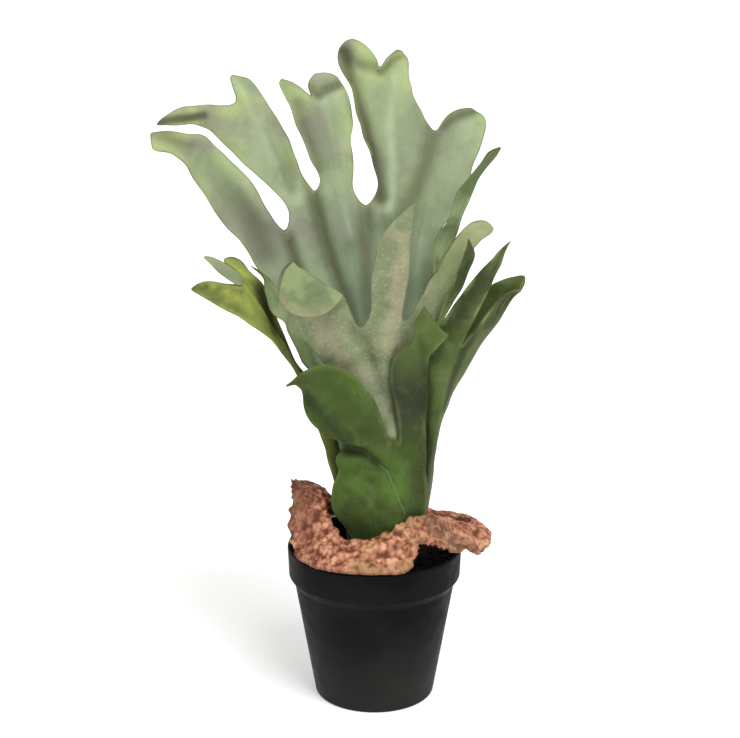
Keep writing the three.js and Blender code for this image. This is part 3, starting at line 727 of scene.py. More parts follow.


# Marks drawn along the blades: a line in millimetres, then its width, the depth that it is pressed back and
# its strength in the colour. In the hollow shade marks that strength lays painted shade into the hollows, in
# the lit marks painted highlight along the ridges

FAN_MARKS = {
    "hollow_shade": [
        ([(-72, 41, 392), (-70, 40, 385), (-63, 37, 364), (-52, 33, 335)], 7, 6, 0.8),
        ([(-55, 60, 440), (-47, 53, 404), (-38, 48, 373), (-25, 42, 341), (-12, 38, 310)], 7, 7, 0.75),
        ([(-8, 61, 420), (-9, 55, 390), (-7, 48, 357), (-5, 42, 325)], 7, 5, 0.6),
        ([(50, 75, 480), (42, 67, 453), (32, 64, 428), (23, 55, 399), (15, 48, 370)], 9, 6, 0.65),
        ([(-25, 77, 545), (-16, 75, 510), (-9, 73, 482), (-1, 67, 453), (5, 61, 426)], 8, 6, 0.95),
        ([(-33, 77, 545), (-24, 77, 538), (-2, 83, 532), (4, 86, 530)], 6, 4, 0.5),
        ([(5, 86, 530), (15, 90, 539), (25, 92, 546)], 5, 3, 0.75),
        ([(-56, 74, 517), (-48, 75, 512), (-38, 80, 517), (-31, 82, 520)], 6, 4, 0.75),
        ([(58, 80, 487), (66, 84, 491), (82, 87, 496)], 8, 3, 0.75),
        ([(-178, 25, 492), (-161, 32, 496), (-141, 47, 497)], 4, 2, 1),
        ([(-179, 15, 486), (-166, 17, 481), (-152, 23, 474)], 9, 3, 0.55),
        ([(-138, 24, 462), (-120, 34, 436), (-103, 38, 408), (-90, 36, 380)], 11, 6, 0.6),
        ([(-84, 60, 490), (-76, 60, 460), (-70, 56, 435)], 8, 5, 0.5),
        ([(-66, 66, 505), (-58, 65, 480), (-50, 61, 452)], 8, 4, 0.5),
        ([(92, 84, 480), (80, 76, 445), (68, 68, 415)], 9, 4, 0.3),
        ([(-40, 34, 320), (-30, 32, 290), (-22, 28, 260)], 12, 5, 0.55),
        ([(-118, 72, 520), (-98, 64, 484), (-84, 58, 455)], 10, -5, 0),
        ([(-165, 26, 482), (-135, 42, 466), (-112, 48, 440), (-92, 46, 410)], 9, -4, 0),
        ([(-42, 72, 505), (-36, 64, 470), (-30, 58, 430), (-22, 52, 395)], 9, -5, 0),
        ([(14, 84, 520), (10, 76, 485), (12, 68, 450), (8, 60, 415)], 12, -6, 0),
        ([(74, 82, 480), (60, 72, 440), (46, 62, 400), (36, 52, 360)], 12, -5, 0),
    ],
    # Painted highlights along the fan's ridges and its lit lower right
    "lit": [
        ([(44, 56, 390), (38, 48, 350), (34, 42, 320)], 6, 0, 0.9),
        ([(16, 84, 520), (12, 76, 485), (14, 68, 450), (12, 60, 415)], 5, 0, 0.6),
        ([(-165, 26, 484), (-135, 42, 468), (-112, 48, 442), (-92, 46, 412)], 4, 0, 0.65),
        ([(-118, 72, 520), (-98, 64, 484), (-84, 58, 455)], 5, 0, 0.35),
        ([(-42, 72, 505), (-34, 64, 470), (-28, 58, 430), (-20, 52, 395)], 4, 0, 0.6),
        ([(80, 84, 470), (70, 76, 440), (58, 68, 410)], 5, 0, 0.55),
    ],
}

# Margins that are drawn over, to lie behind a neighbour or to widen a strap: a line, a reach and a shift in
# millimetres
FAN_PULLS = [([(66, 70, 446), (58, 62, 408)], 16, (5, 0, 0))]
SPOON_PULLS = [([(56, 18, 345), (54, 19, 325)], 14, (3, 0, 0))]
STRAP_PULLS = [
    ([(-62, -8, 324), (-50, -5, 300)], 16, (-10, 0, 0)),
    ([(-86, -9, 360), (-76, -10, 342)], 9, (-5, 0, 0)),
]
POINTED_PULLS = [([(54, -20, 352), (58, -20, 335)], 10, (-2, 0, 0))]

# The pale rib that curves down the sheath
FRONT_MIDRIB = [
    (-10, -33, 229), (1, -37, 221), (11, -38, 213), (20, -40, 190), (25, -40, 178), (28, -40, 160),
]

# Where the fishtail lobe lies close behind the middle lobes, the turned tip of the left lobe, and the flap's
# fold
FRONT_CALM = [
    [(24, -24, 330), (20, -24, 314), (15, -26, 290), (16, -25, 263), (22, -30, 238)],
    [(-80, -49, 285), (-70, -47, 292)],
    [(-22, -48, 360), (-36, -48, 372), (-50, -52, 380), (-70, -58, 395)],
]

FRONT_MARKS = {
    "hollow_shade": [
        ([(-60, -41, 283), (-48, -40, 267), (-34, -40, 252), (-24, -36, 240)], 8, 3, 0.75),
        ([(-34, -26, 229), (-25, -28, 229), (-12, -33, 229), (1, -37, 221)], 5, 4.5, 1),
        ([(-25, -24, 203), (-12, -36, 214), (4, -38, 218), (19, -36, 212)], 5, 2, 0.35),
        ([(-18, -35, 333), (-7, -33, 320), (4, -27, 293), (13, -25, 271)], 7, 3, 0.45),
        ([(18, -24, 314), (15, -31, 290), (14, -25, 263)], 5, 0, 0.5),
        ([(37, -34, 325), (41, -24, 293), (41, -23, 262)], 5, 1.5, 0.5),
        ([(-58, -46, 312), (-46, -48, 307), (-24, -44, 290), (-5, -40, 254)], 9, -3, 0),
        ([(-36, -30, 242), (-24, -33, 239), (-10, -36, 236)], 5, -2.5, 0),
        ([(24, -42, 409), (20, -39, 376), (16, -31, 341)], 8, -2, 0),
        ([(-44, -41, 346), (-34, -39, 332), (-26, -37, 318)], 11, 0, 0.4),
        ([(-66, -40, 348), (-54, -41, 343), (-41, -41, 345), (-29, -42, 355)], 5, 0, 0.4),
    ],
    "sand": [
        ([(24, -42, 409), (20, -39, 376), (17, -31, 341), (15, -27, 315)], 9, 0, 1),
        ([(-48, -42, 345), (-28, -37, 315), (-8, -34, 280)], 9, 0, 0.8),
    ],
    # The strength is high because the flap shows the blade's back, where marks count for a fifth
    "fold_line": [
        ([(-75, -65, 366), (-70, -63, 359), (-59, -60, 354), (-47, -59, 353), (-34, -58, 357)], 5, 0, 5),
    ],
}

# The line where the right-hand frond's second and third lobe meet
POINTED_SEAM = [(84, -22, 345), (78, -22, 325), (70, -17, 305)]

POINTED_MARKS = {
    "hollow_shade": [
        ([(84, -22, 338), (81, -23, 330), (72, -17, 307), (64, -15, 281), (59, -9, 258)], 5, 2, 0.95),
        ([(120, -6, 364), (107, -17, 350), (95, -19, 334)], 8, 1.5, 0.9),
        ([(88, -31, 374), (76, -27, 344), (67, -22, 317)], 7, -2, 0),
    ],
    "patch": [([(109, 0, 356), (115, -2, 364), (121, -5, 370)], 8, 0, 1)],
}

LEFT_OUTER_MARKS = {
    "hollow_shade": [
        ([(-94, 4, 358), (-87, 4, 341), (-82, -7, 326)], 9, 1.5, 0.85),
        ([(-141, -34, 365), (-121, -28, 357), (-102, -25, 341)], 8, 2, 0.4),
    ],
    "patch": [([(-139, -31, 394), (-129, -30, 388), (-121, -26, 383), (-113, -20, 374)], 9, 0, 1)],
}

# Places in the regions of the front frond, in millimetres
FRONT_REGIONS = {
    "sheath": [
        (-20, -22, 150), (-30, -18, 190), (-10, -30, 190), (10, -40, 170), (12, -38, 210), (20, -40, 180),
        (30, -32, 190), (40, -24, 190), (-25, -27, 222), (0, -36, 225), (30, -30, 215), (-20, -36, 250),
        (-45, -37, 280), (-62, -46, 290), (-5, -38, 262), (-30, -42, 295),
    ],
    "mealy": [
        (14, -26, 262), (0, -27, 290), (-20, -29, 310), (-50, -34, 340), (-60, -38, 370), (16, -22, 290),
        (10, -35, 340), (15, -38, 380), (20, -40, 415), (30, -22, 335), (50, -12, 360), (75, -4, 395),
    ],
    "fishtail": [
        (25, -30, 250), (28, -31, 265), (30, -32, 285), (30, -34, 305), (42, -33, 330), (40, -23, 255),
        (43, -24, 280), (50, -33, 318), (34, -38, 345),
    ],
}


def make_blade(node, name, slot, finish, seed, facing=(0, -1, 0), folds=3, regions=None, **drawn):
    """A fine blade from a frond's solid: subdivided, folded, waved and thinned to its margin. Regions and a
    midrib are stored for the finish, marks are pressed in and stored too, calm lines keep the waves away from
    where two lobes lie close together, and pulls draw a margin over."""
    looks = bpy.context.scene.fern_leaf
    blade = copy_of(node, name)
    label_sides(blade, BLADE_THICKNESS, Vector(facing))
    mesh = blade.data
    feet = np.flatnonzero(points_of(mesh)[:, 2] < FOOT + 0.5 * MM)
    store(mesh, "reach", spread(mesh, feet))
    store_veins(mesh, feet)
    if regions:
        store_regions(mesh, regions, blend=9 * MM)
    calm = drawn.get("calm", ())
    crease_margins(mesh, 0.85, calm)
    apply_modifier(blade, "SUBSURF", levels=2, render_levels=2)
    points = points_of(mesh)
    middle, way, side, half, walls = side_of(mesh, points)
    margin = walls[points[walls, 2] > FOOT + 3 * MM]
    rim = nearest(points[margin], points)[1]
    vein = stored(mesh, "vein")
    reach = stored(mesh, "reach")
    free = np.ones(len(points))
    for line in calm:
        free *= 1 - nearness(middle, line, CALM_WIDTH)
    still = free * smoothstep(FOOT, FOOT + FOLD_RUN, points[:, 2])
    body = smoothstep(0, looks.rim_width, rim)
    near_rim = 1 - smoothstep(0, MARGIN_BAND, rim)
    fixed = np.full(len(rim), float(seed))
    rows = np.column_stack([vein * folds, reach / FOLD_RUN, fixed])
    lift = looks.fold_height * smoothstep(*FOLD_RISE, points[:, 2]) * clouds(rows, 1, seed + 3)
    lift += looks.wave_height * clouds(middle, looks.wave_size, seed)
    lift += looks.flutter_height * near_rim * clouds(middle, looks.flutter_size, seed + 1)
    lift *= still
    for key, marks in drawn.get("marks", {}).items():
        shown = np.zeros(len(points))
        for line, width, depth, full in marks:
            near = nearness(middle, line, width)
            lift -= depth * MM * near * free
            shown = np.maximum(shown, full * near * (0.6 + 0.4 * side[:, 0]))
        store(mesh, key, shown)
    thick = looks.rim_thickness + (looks.body_thickness - looks.rim_thickness) * body
    rows = np.column_stack([vein * 9 * folds, reach / RIB_RUN, fixed])
    ribs = looks.rib_height * body * still * clouds(rows, 1, seed + 2)
    away = lift[:, None] + side * (half * thick[:, None] + ribs[:, None])
    stray = np.column_stack([clouds(middle, STRAY_SIZE, seed + part) for part in (5, 6, 7)])
    stray *= (looks.wander * near_rim * still)[:, None]
    for line, width, shift in drawn.get("pulls", ()):
        stray += nearness(middle, line, width)[:, None] * np.array(shift) * MM
    if "midrib" in drawn:
        store(mesh, "midrib", distance_to_line(points, drawn["midrib"], signed=True))
    place_points(mesh, points + free[:, None] * (middle + stray + way * away - points))
    store(mesh, "rim", rim)
    store(mesh, "under", ((1 - side) / 2)[:, 0])
    hand_over(blade, node, finish)


class FERN_OT_back_fan(Operator):
    """Add the big grey-green fan at the back"""

    bl_idname = "fern.back_fan"
    bl_label = "Back Fan"

    def execute(self, context):
        shape = {"folds": 6, "marks": FAN_MARKS, "pulls": FAN_PULLS}
        make_blade("frond_back_fan", "blade_back_fan", "fan_leaf", fan_finish(), 1, **shape)
        return {"FINISHED"}


class FERN_OT_front_frond(Operator):
    """Add the front frond, with its sheath, mealy lobes and fishtail"""

    bl_idname = "fern.front_frond"
    bl_label = "Front Frond"

    def execute(self, context):
        shape = {"folds": 4, "regions": FRONT_REGIONS, "midrib": FRONT_MIDRIB, "calm": FRONT_CALM}
        make_blade("frond_front", "blade_front", "front_leaf", front_finish(), 2, marks=FRONT_MARKS, **shape)
        return {"FINISHED"}


class FERN_OT_right_fronds(Operator):
    """Add the pointed frond and the spoon-shaped frond on the right"""

    bl_idname = "fern.right_fronds"
    bl_label = "Right Fronds"

    def execute(self, context):
        looks = context.scene.fern_leaf
        tones = (looks.side_deep, looks.side_light, looks.side_light)
        finish = side_finish("mid_green_blade", *tones, patch=looks.sunned)
        shape = {"marks": POINTED_MARKS, "calm": [POINTED_SEAM], "pulls": POINTED_PULLS}
        make_blade("frond_right_pointed", "blade_right_pointed", "side_leaf", finish, 3, **shape)
        finish = side_finish("fresh_green_blade", looks.spoon_deep, looks.spoon_light, looks.fan_middle)
        shape = {"facing": (1, -0.5, 0), "pulls": SPOON_PULLS}
        make_blade("frond_right_spoon", "blade_right_spoon", "side_leaf", finish, 4, **shape)
        return {"FINISHED"}


class FERN_OT_left_fronds(Operator):
    """Add the two olive fronds on the left"""

    bl_idname = "fern.left_fronds"
    bl_label = "Left Fronds"

    def execute(self, context):
        looks = context.scene.fern_leaf
        tones = (looks.olive_deep, looks.olive_light, looks.fan_middle, looks.olive_tip, looks.fan_middle)
        finish = side_finish("olive_blade", *tones)
        shape = {"facing": (1, -0.4, 0), "marks": LEFT_OUTER_MARKS}
        make_blade("frond_left_outer", "blade_left_outer", "olive_leaf", finish, 5, **shape)
        finish = side_finish("sage_strap", looks.spoon_deep, looks.spoon_light, looks.olive_deep)
        shape = {"facing": (1, 0, 0), "pulls": STRAP_PULLS}
        make_blade("frond_left_inner", "blade_left_inner", "olive_leaf", finish, 6, **shape)
        return {"FINISHED"}


def shield_finish():
    looks = bpy.context.scene.fern_shield
    skin = Finish("knobbly_copper_husk", 0.6, 0.4)
    height = skin.math("ADD", skin.measure("knob"), skin.cloud(150, 4, 0.3, 0.7, -0.25, 0.25, roughness=0.7))
    long_folds = skin.noise(120, 4, 0.7, (0.5, 1, 1.6))
    # The smooth part: tan with lengthwise streaks of painted shade and painted highlight
    smooth = skin.layers(
        looks.dark_patches_and_shade,
        (skin.step(long_folds, 0.38, 0.64), looks.underside),
        (skin.step(long_folds, 0.56, 0.74, 0, 0.6), looks.painted_highlight),
    )
    crest = skin.both(skin.cloud(30, 3, 0.48, 0.64), skin.by("rim", 2 * MM, 18 * MM, 0.9, 0.1))
    tone = skin.layers(
        # Painted shade between the knobs, copper on their sides
        looks.dark_patches_and_shade,
        (skin.step(height, 0.05, 0.55), looks.copper),
        # Painted highlight on the knobs' tops
        (skin.step(height, 0.45, 1.05, 0, 0.9), looks.painted_highlight),
        (crest, skin.step(height, 0.1, 0.6, 0.3, 0.8), looks.straw),
        (skin.cloud(48, 4, 0.5, 0.72, 0, 0.4, roughness=0.65), looks.dark_patches_and_shade),
        # Painted shade on the upright lobe at the left
        (skin.by("X", -62 * MM, -40 * MM, 1, 0), skin.by("Z", 0.145, 0.165), 0.65, looks.dark_patches_and_shade),
        (skin.by("rim", 0.4 * MM, 2.4 * MM, 0.6, 0), looks.dark_patches_and_shade),
        (skin.by("smooth", 0.2, 0.8, 0, 0.9), smooth),
        (skin.by("under", 0.4, 0.65), smooth),
    )
    skin.bump((skin.noise(260, 4, 0.7), 0.9 * MM), (skin.noise(1100, 2, 0.7), 0.12 * MM))
    return skin.done(tone, skin.step(height, 0.1, 0.9, 0.72, 0.38))


# The middle of the pot's lip, as a radius and a height
LIP = (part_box("pot")[1].x - 1.5 * MM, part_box("pot")[1].z)
# How far the low margin at the back left is drawn up, and its part outside the lip moved out and lowered, and
# how far the torn top strays
DRAWN_UP, MOVED_OUT, LOWERED, TORN = 9 * MM, 5.5 * MM, 7 * MM, 9 * MM
# Distances from the pot's axis over which the one fades out and the other sets in
INSIDE_LIP = (58 * MM, 70 * MM)
OUTSIDE_LIP = (74 * MM, 77 * MM)
# The height above the lip that is left open at the slit, and the most that the frond is lowered there
SLIT_GAP, SLIT_DROP = 0.8 * MM, 4.2 * MM
# Far-apart starts of the noises that draw the knobs out of round, and how far these draw
KNOB_STARTS = [Vector((9.3, 1.5, 7.9)), Vector((0, 0, 0)), Vector((6.3, 0.2, 2.7))]
KNOB_BEND = 0.45

# Places on the shield frond, each a line in millimetres and a width
SHIELD_PLACES = {
    # The smooth part of the flap that faces forward
    "flap": ([(48, -34, 164), (55, -29, 157), (68, -24, 145), (82, -18, 136)], 10),
    # The torn top of the upright lobe
    "top": ([(-70, 11, 185), (-64, 0, 186), (-53, -8, 183), (-46, -13, 177)], 14),
    # The low margin at the back left, which is drawn up to close the ring
    "back": ([(-50, 55, 142), (-38, 60, 140), (-28, 64, 138)], 18),
    # The slit over the lip at the back left, where the frond is lowered nearly onto the lip
    "slit": ([(-48, 56, 139), (-40, 62, 139), (-35, 66, 138)], 10),
    # The curled end of the flap, whose two layers lie close together
    "curl": ([(60, 36, 144), (84, 26, 144), (98, 12, 144)], 17),
}


def knobs(points, size, seed):
    """Rounded knobs packed side by side, 0 between them and 1 on top, drawn out of round by a soft noise."""
    shift = Vector((seed, seed, seed))
    heights = []
    for point in points:
        place = Vector(point) / size + shift
        bend = Vector([noise.noise(0.8 * place + start) for start in KNOB_STARTS])
        near = noise.voronoi(place + KNOB_BEND * bend)[0][0]
        heights.append(1 - min(1.0, near / 0.8) ** 2)
    return np.array(heights)


class FERN_OT_shield_frond(Operator):
    """Add the knobbly shield frond that lies over the rim"""

    bl_idname = "fern.shield_frond"
    bl_label = "Shield Frond"

    def execute(self, context):
        looks = context.scene.fern_shield
        husk = copy_of("shield_frond", "husk")
        label_sides(husk, SHIELD_THICKNESS, Vector((0, 0, 1)))
        crease_margins(husk.data, 0.6, [SHIELD_PLACES["curl"][0]])
        apply_modifier(husk, "SUBSURF", levels=2, render_levels=2)
        edit(husk, [face.index for face in husk.data.polygons if face.material_index == FRONT])
        bpy.ops.mesh.subdivide(number_cuts=1, smoothness=0)
        mesh = finished(husk).data
        points = points_of(mesh)
        middle, way, side, _, walls = side_of(mesh, points)
        rim = nearest(points[walls], points)[1]
        top = smoothstep(-0.4, 0.6, side[:, 0])
        inside = smoothstep(0, 10 * MM, rim)
        near_rim = 1 - smoothstep(0, 5 * MM, rim)
        near = {name: nearness(middle, *place) for name, place in SHIELD_PLACES.items()}
        free = 1 - near["curl"]
        radius = np.hypot(middle[:, 0], middle[:, 1])
        off_lip = smoothstep(3 * MM, 9 * MM, np.hypot(radius - LIP[0], middle[:, 2] - LIP[1]))
        folds = looks.fold_height * inside * free * off_lip * clouds(middle, looks.fold_size, 4)
        # Large knobs and small ones take turns from patch to patch
        big = knobs(points, looks.knob_size, 2)
        small = knobs(points, 0.5 * looks.knob_size, 5)
        size_mix = smoothstep(-0.2, 0.25, clouds(points, 12 * MM, 6))
        knob = np.clip((0.3 + 0.55 * size_mix) * big + (0.6 - 0.45 * size_mix) * small, 0, 1)
        raised = looks.knob_height * knob * top * free * (1 - 0.75 * near["flap"]) * (1 - 0.65 * near_rim)
        coarse, fine = [[clouds(middle, size * MM, part) for part in (7, 8, 9)] for size in (8, 3.5)]
        stray = np.column_stack(coarse) + 0.8 * np.column_stack(fine)
        stray *= (looks.ragged * free * off_lip * (1 - inside))[:, None]
        stray[:, 2] += DRAWN_UP * near["back"] * (1 - smoothstep(*INSIDE_LIP, radius))
        outer = near["back"] * smoothstep(*OUTSIDE_LIP, radius)
        stray[:, :2] += MOVED_OUT * (outer / radius)[:, None] * middle[:, :2]
        stray[:, 2] -= LOWERED * outer
        stray[:, 2] -= near["slit"] * np.clip(points[:, 2] - LIP[1] - SLIT_GAP, 0, SLIT_DROP)
        torn = (1 - smoothstep(0, 7 * MM, rim)) * near["top"] * np.maximum(clouds(middle, 3.4 * MM, 3), 0)
        stray[:, 2] += TORN * torn
        stray += (0.55 * near_rim * free)[:, None] * (middle - points)
        normals = np.array([vertex.normal[:] for vertex in mesh.vertices])
        place_points(mesh, points + stray + way * folds[:, None] + normals * raised[:, None])
        store(mesh, "smooth", near["flap"])
        store(mesh, "rim", rim)
        store(mesh, "knob", knob)
        store(mesh, "under", ((1 - side) / 2)[:, 0])
        hand_over(husk, "shield_frond", shield_finish(), smooth_angle=80)
        return {"FINISHED"}


def profile_of(node):
    """The half outline of a turned solid, as radii and heights from the bottom of its axis to the top."""
    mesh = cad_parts[node].data
    points = points_of(mesh)
    in_plane = (abs(points[:, 0]) < 0.01 * MM) & (points[:, 1] < 0.01 * MM)
    beside = {}
    for edge in mesh.edges:
        if all(in_plane[i] for i in edge.vertices):
            ends = [(round(abs(points[i, 1]), 5), round(points[i, 2], 5)) for i in edge.vertices]
            beside.setdefault(ends[0], set()).add(ends[1])
            beside.setdefault(ends[1], set()).add(ends[0])
    outline = [min(place for place in beside if place[0] == 0)]
    while True:
        onward = beside[outline[-1]] - set(outline)
        if not onward:
            return outline
        outline.append(onward.pop())


def rounded(outline, cut, steps=3):
    """An outline with each corner that turns by more than a little replaced by a small curve."""
    curve = [outline[0]]
    for before, corner, after in zip(outline, outline[1:], outline[2:]):
        before, corner, after = [Vector(place) for place in (before, corner, after)]
        back, on = before - corner, after - corner
        if (-back).angle(on) < math.radians(12):
            curve.append(tuple(corner))
            continue
        start = corner + back.normalized() * min(cut, 0.4 * back.length)
        end = corner + on.normalized() * min(cut, 0.4 * on.length)
        for step in range(steps + 1):
            t = step / steps
            curve.append(tuple((1 - t) ** 2 * start + 2 * t * (1 - t) * corner + t * t * end))
    return curve + [outline[-1]]


def turned(name, outline, sides):
    """A solid turned about Z: a disc, drawn out ring by ring along an outline of radii and heights."""
    (radius, height), (next_radius, next_height) = outline[:2]
    bpy.ops.object.select_all(action="DESELECT")
    bpy.ops.mesh.primitive_cone_add(
        vertices=sides,
        radius1=radius,
        radius2=next_radius,
        depth=next_height - height,
        location=(0, 0, (height + next_height) / 2),
    )
    piece = bpy.context.active_object
    piece.name = name
    bpy.ops.object.transform_apply(location=True, rotation=True, scale=True)
    edit(piece, [max(piece.data.polygons, key=lambda face: face.center.z).index])
    radius, height = outline[1]
    for next_radius, next_height in outline[2:]:
        bpy.ops.mesh.extrude_region_move(TRANSFORM_OT_translate={"value": (0, 0, next_height - height)})
        scale = next_radius / radius
        bpy.ops.transform.resize(value=(scale, scale, 1), center_override=(0, 0, next_height))
        radius, height = next_radius, next_height
    bpy.ops.mesh.select_all(action="SELECT")
    bpy.ops.mesh.normals_make_consistent(inside=False)
    return finished(piece)


def pot_finish():
    looks = bpy.context.scene.fern_pot
    skin = Finish("black_moulded_plastic", looks.roughness, 0.05)
    # Painted sheen greying the plastic towards the foot, broken by soft random patches
    low = skin.math("ADD", skin.by("Z", 0, 0.1, 0.75, 0), skin.cloud(18, 3, 0.4, 0.7, 0, 0.25))
    mark = skin.step(skin.noise(150, 3, 0.6, (1, 1, 0.6)), 0.7, 0.76)
    tone = skin.layers(looks.plastic, (low, looks.foot_sheen), (mark, skin.cloud(40, 1, 0.55, 0.65), looks.scuff))
    skin.bump((skin.noise(26, 2), 0.35 * MM), (skin.noise(700, 2), 0.02 * MM))
    span = (looks.roughness - 0.06, looks.roughness + 0.1)
    return skin.done(tone, skin.cloud(70, 4, 0.3, 0.7, *span, roughness=0.6))


class FERN_OT_pot(Operator):
    """Add the tapered black pot with its band, lip and recessed base"""

    bl_idname = "fern.pot"
    bl_label = "Pot"

    def execute(self, context):
        looks = context.scene.fern_pot
        outline = rounded(profile_of("pot"), looks.edge_round)
        pot = turned("nursery_pot", outline[1:-1], looks.sides)
        hand_over(pot, "pot", pot_finish(), smooth_angle=30)
        return {"FINISHED"}


# Rings and sides of the mix's fine surface
SOIL_RINGS = 44
SOIL_SIDES = 120


def mix_finish(name, dark, light):
    skin = Finish(name, 0.9, 0.2)
    skin.bump((skin.noise(900, 4, 0.7), 0.5 * MM))
    return skin.done(skin.layers(dark, (skin.cloud(210, 4, 0.4, 0.68, roughness=0.6), light)))


class FERN_OT_potting_mix(Operator):
    """Add the potting mix and its loose crumbs"""

    bl_idname = "fern.potting_mix"
    bl_label = "Potting Mix"

    def execute(self, context):
        looks = context.scene.fern_mix
        profile = profile_of("potting_mix")
        side = profile[3][0]
        level = profile[-1][1]
        outline = profile[1:4] + [(side, level - 2 * MM)]
        outline += [(side * part, level) for part in np.linspace(0.985, 0.02, SOIL_RINGS)]
        soil = turned("soil", outline, SOIL_SIDES)
        points = points_of(soil.data)
        lumps = clouds(points, 6 * MM, 1) + 0.6 * clouds(points, 2.4 * MM, 2)
        upper = smoothstep(level - 3 * MM, level, points[:, 2])
        outer = smoothstep(0.2, 0.72, np.hypot(points[:, 0], points[:, 1]) / side)
        points[:, 2] += looks.grain_height * upper * (outer * lumps - 0.5 * (1 - outer))
        place_points(soil.data, points)
        finish = mix_finish("damp_peat", looks.peat, looks.bark)
        hand_over(soil, "potting_mix", finish, smooth_angle=80)
        self.add_crumbs(looks, level, side)
        return {"FINISHED"}

    def add_crumbs(self, looks, level, side):
        """Loose crumbs on the mix, clear of the fronds' feet and the crown."""
        draw = random.Random(looks.seed)
        planted = [node for name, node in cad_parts.items() if name.startswith(("frond", "crown"))]
        stems = np.vstack([points_of(node.data) for node in planted])
        tree = tree_of(stems[stems[:, 2] < FOOT + 30 * MM])
        bpy.ops.object.select_all(action="DESELECT")
        bpy.ops.mesh.primitive_ico_sphere_add(subdivisions=1, radius=1)
        crumb = bpy.context.active_object
        crumb.name = "crumbs"
        shape = points_of(crumb.data)
        copies = []
        while len(copies) < looks.crumbs:
            radius = (side - 3 * MM) * math.sqrt(draw.random())
            angle = draw.uniform(0, 2 * math.pi)
            cosine, sine = math.cos(angle), math.sin(angle)
            size = looks.crumb_size * draw.uniform(0.35, 1)
            place = Vector((radius * cosine, radius * sine, level + 0.3 * size))
            chips = np.array([draw.uniform(0.6, 1.25) for _ in range(3 * len(shape))]).reshape(shape.shape)
            if tree.find(place)[2] < size + 2.5 * MM:
                continue
            flat = np.array([draw.uniform(0.8, 1.7), draw.uniform(0.7, 1.1), draw.uniform(0.4, 0.8)])
            turn = np.array([[cosine, -sine, 0], [sine, cosine, 0], [0, 0, 1]])
            copy = added("crumb", crumb.data.copy())
            place_points(copy.data, (shape * chips * flat * size) @ turn.T + np.array(place))
            copies.append(copy)
        place_points(crumb.data, points_of(copies[0].data))
        bpy.data.objects.remove(copies.pop(0))
        select_only(*copies, crumb)
        bpy.ops.object.join()
        finish = mix_finish("bark_crumbs", looks.peat, looks.bark)
        hand_over(crumb, None, finish, smooth_angle=20)


class FERN_OT_crown(Operator):
    """Add the scaly rootstock in the middle"""

    bl_idname = "fern.crown"
    bl_label = "Crown"

    def execute(self, context):
        looks = context.scene.fern_mix
        crown = copy_of("crown", "rootstock")
        apply_modifier(crown, "SUBSURF", levels=3, render_levels=3, subdivision_type="SIMPLE")
        apply_modifier(crown, "SMOOTH", factor=0.5, iterations=4)
        points = points_of(crown.data)
        normals = np.array([vertex.normal[:] for vertex in crown.data.vertices])
        stretched = points * np.array([1, 1, 0.35])
        scales = 0.5 * MM * clouds(stretched, 1.6 * MM, 3) * smoothstep(FOOT, FOOT + 4 * MM, points[:, 2])
        place_points(crown.data, points + normals * scales[:, None])
        finish = mix_finish("scaly_rootstock", looks.bark, looks.rootstock)
        hand_over(crown, "crown", finish, smooth_angle=80)
        return {"FINISHED"}


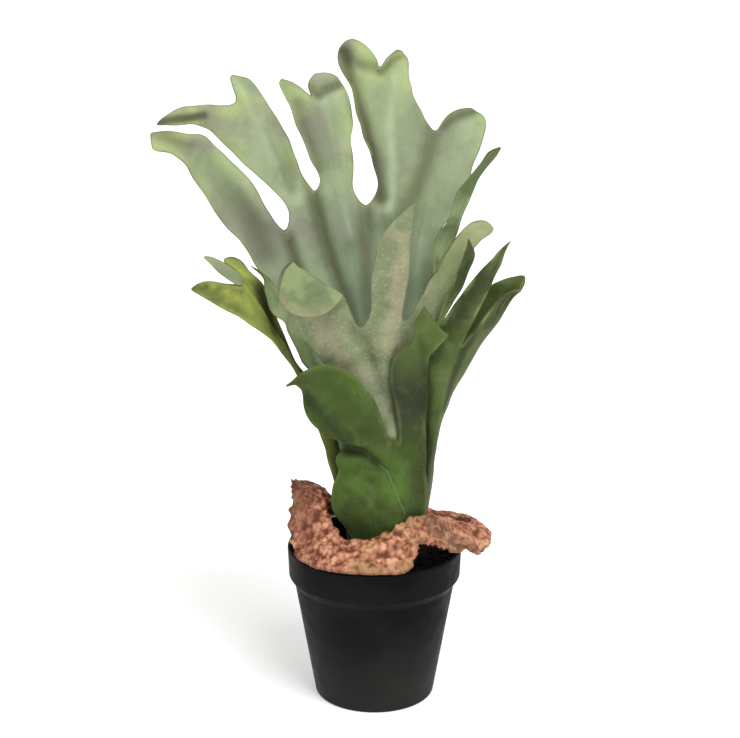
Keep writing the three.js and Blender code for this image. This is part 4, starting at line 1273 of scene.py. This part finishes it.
class FERN_OT_stage(Operator):
    """Add the pale floor, the soft lights and the camera"""

    bl_idname = "fern.stage"
    bl_label = "Stage"

    def execute(self, context):
        looks = context.scene.fern_stage
        bpy.ops.object.select_all(action="DESELECT")
        below = (0, 0, -0.1 * MM)
        bpy.ops.mesh.primitive_circle_add(vertices=96, radius=40, fill_type="NGON", location=below)
        floor = context.active_object
        floor.name = "pale_floor"
        bpy.ops.object.transform_apply(location=True, rotation=True, scale=True)
        skin = Finish("pale_floor", 0.85, 0.2)
        tint = skin.layers(looks.floor, (skin.noise(60, 2), looks.floor_mottle))
        skin.shader.inputs["Emission Color"].default_value = looks.floor[:] + (1,)
        skin.shader.inputs["Emission Strength"].default_value = looks.floor_glow
        floor.data.materials.append(skin.done(tint))
        self.add_sun("key", place=(0.42, -0.62, 1), power=looks.key, spread_degrees=32)
        self.add_sun("fill", place=(-0.9, -0.9, 0.8), power=looks.fill, spread_degrees=60)
        world = bpy.data.worlds.new("studio")
        world.use_nodes = True
        sky = world.node_tree.nodes["Background"]
        sky.inputs["Color"].default_value = (1, 1, 1, 1)
        sky.inputs["Strength"].default_value = looks.sky
        context.scene.world = world
        context.scene.view_settings.view_transform = "Standard"
        data = bpy.data.cameras.new("eye")
        data.lens = data.sensor_width * looks.focal_share
        data.clip_start = 0.01
        camera = added("eye", data)
        camera.location = (0, -looks.eye_back, looks.eye_height)
        level = math.cos(looks.tilt)
        look = Vector((-math.sin(looks.turn) * level, math.cos(looks.turn) * level, -math.sin(looks.tilt)))
        camera.rotation_euler = look.to_track_quat("-Z", "Y").to_euler()
        context.scene.camera = camera
        return {"FINISHED"}

    def add_sun(self, name, place, power, spread_degrees):
        """A wide soft light that shines from the given place towards the plant."""
        data = bpy.data.lights.new(name, "SUN")
        data.angle = math.radians(spread_degrees)
        data.energy = power
        lamp = added(name, data)
        lamp.location = place
        lamp.rotation_euler = (-Vector(place)).to_track_quat("-Z", "Y").to_euler()


OPERATORS = (
    FERN_OT_pot,
    FERN_OT_potting_mix,
    FERN_OT_crown,
    FERN_OT_shield_frond,
    FERN_OT_back_fan,
    FERN_OT_front_frond,
    FERN_OT_right_fronds,
    FERN_OT_left_fronds,
    FERN_OT_stage,
)

SETTINGS = {
    "fern_leaf": FernLeafSettings,
    "fern_shield": FernShieldSettings,
    "fern_pot": FernPotSettings,
    "fern_mix": FernMixSettings,
    "fern_stage": FernStageSettings,
}


class FERN_PT_pieces(Panel):
    """Lists the fern's pieces in the sidebar"""

    bl_label = "Staghorn Fern"
    bl_space_type = "VIEW_3D"
    bl_region_type = "UI"
    bl_category = "Fern"

    def draw(self, context):
        for operator in OPERATORS:
            self.layout.operator(operator.bl_idname)
        for name, settings in SETTINGS.items():
            box = self.layout.box()
            box.label(text=settings.__doc__)
            for key in settings.__annotations__:
                box.prop(getattr(context.scene, name), key)


def register():
    for group in (*SETTINGS.values(), *OPERATORS, FERN_PT_pieces):
        bpy.utils.register_class(group)
    for name, settings in SETTINGS.items():
        setattr(bpy.types.Scene, name, PointerProperty(type=settings))


def unregister():
    for name in SETTINGS:
        delattr(bpy.types.Scene, name)
    for group in (FERN_PT_pieces, *OPERATORS, *SETTINGS.values()):
        bpy.utils.unregister_class(group)


def main():
    register()
    for operator in OPERATORS:
        name = operator.bl_idname.split(".")[1]
        getattr(bpy.ops.fern, name)()


if __name__ == "__main__":
    main()
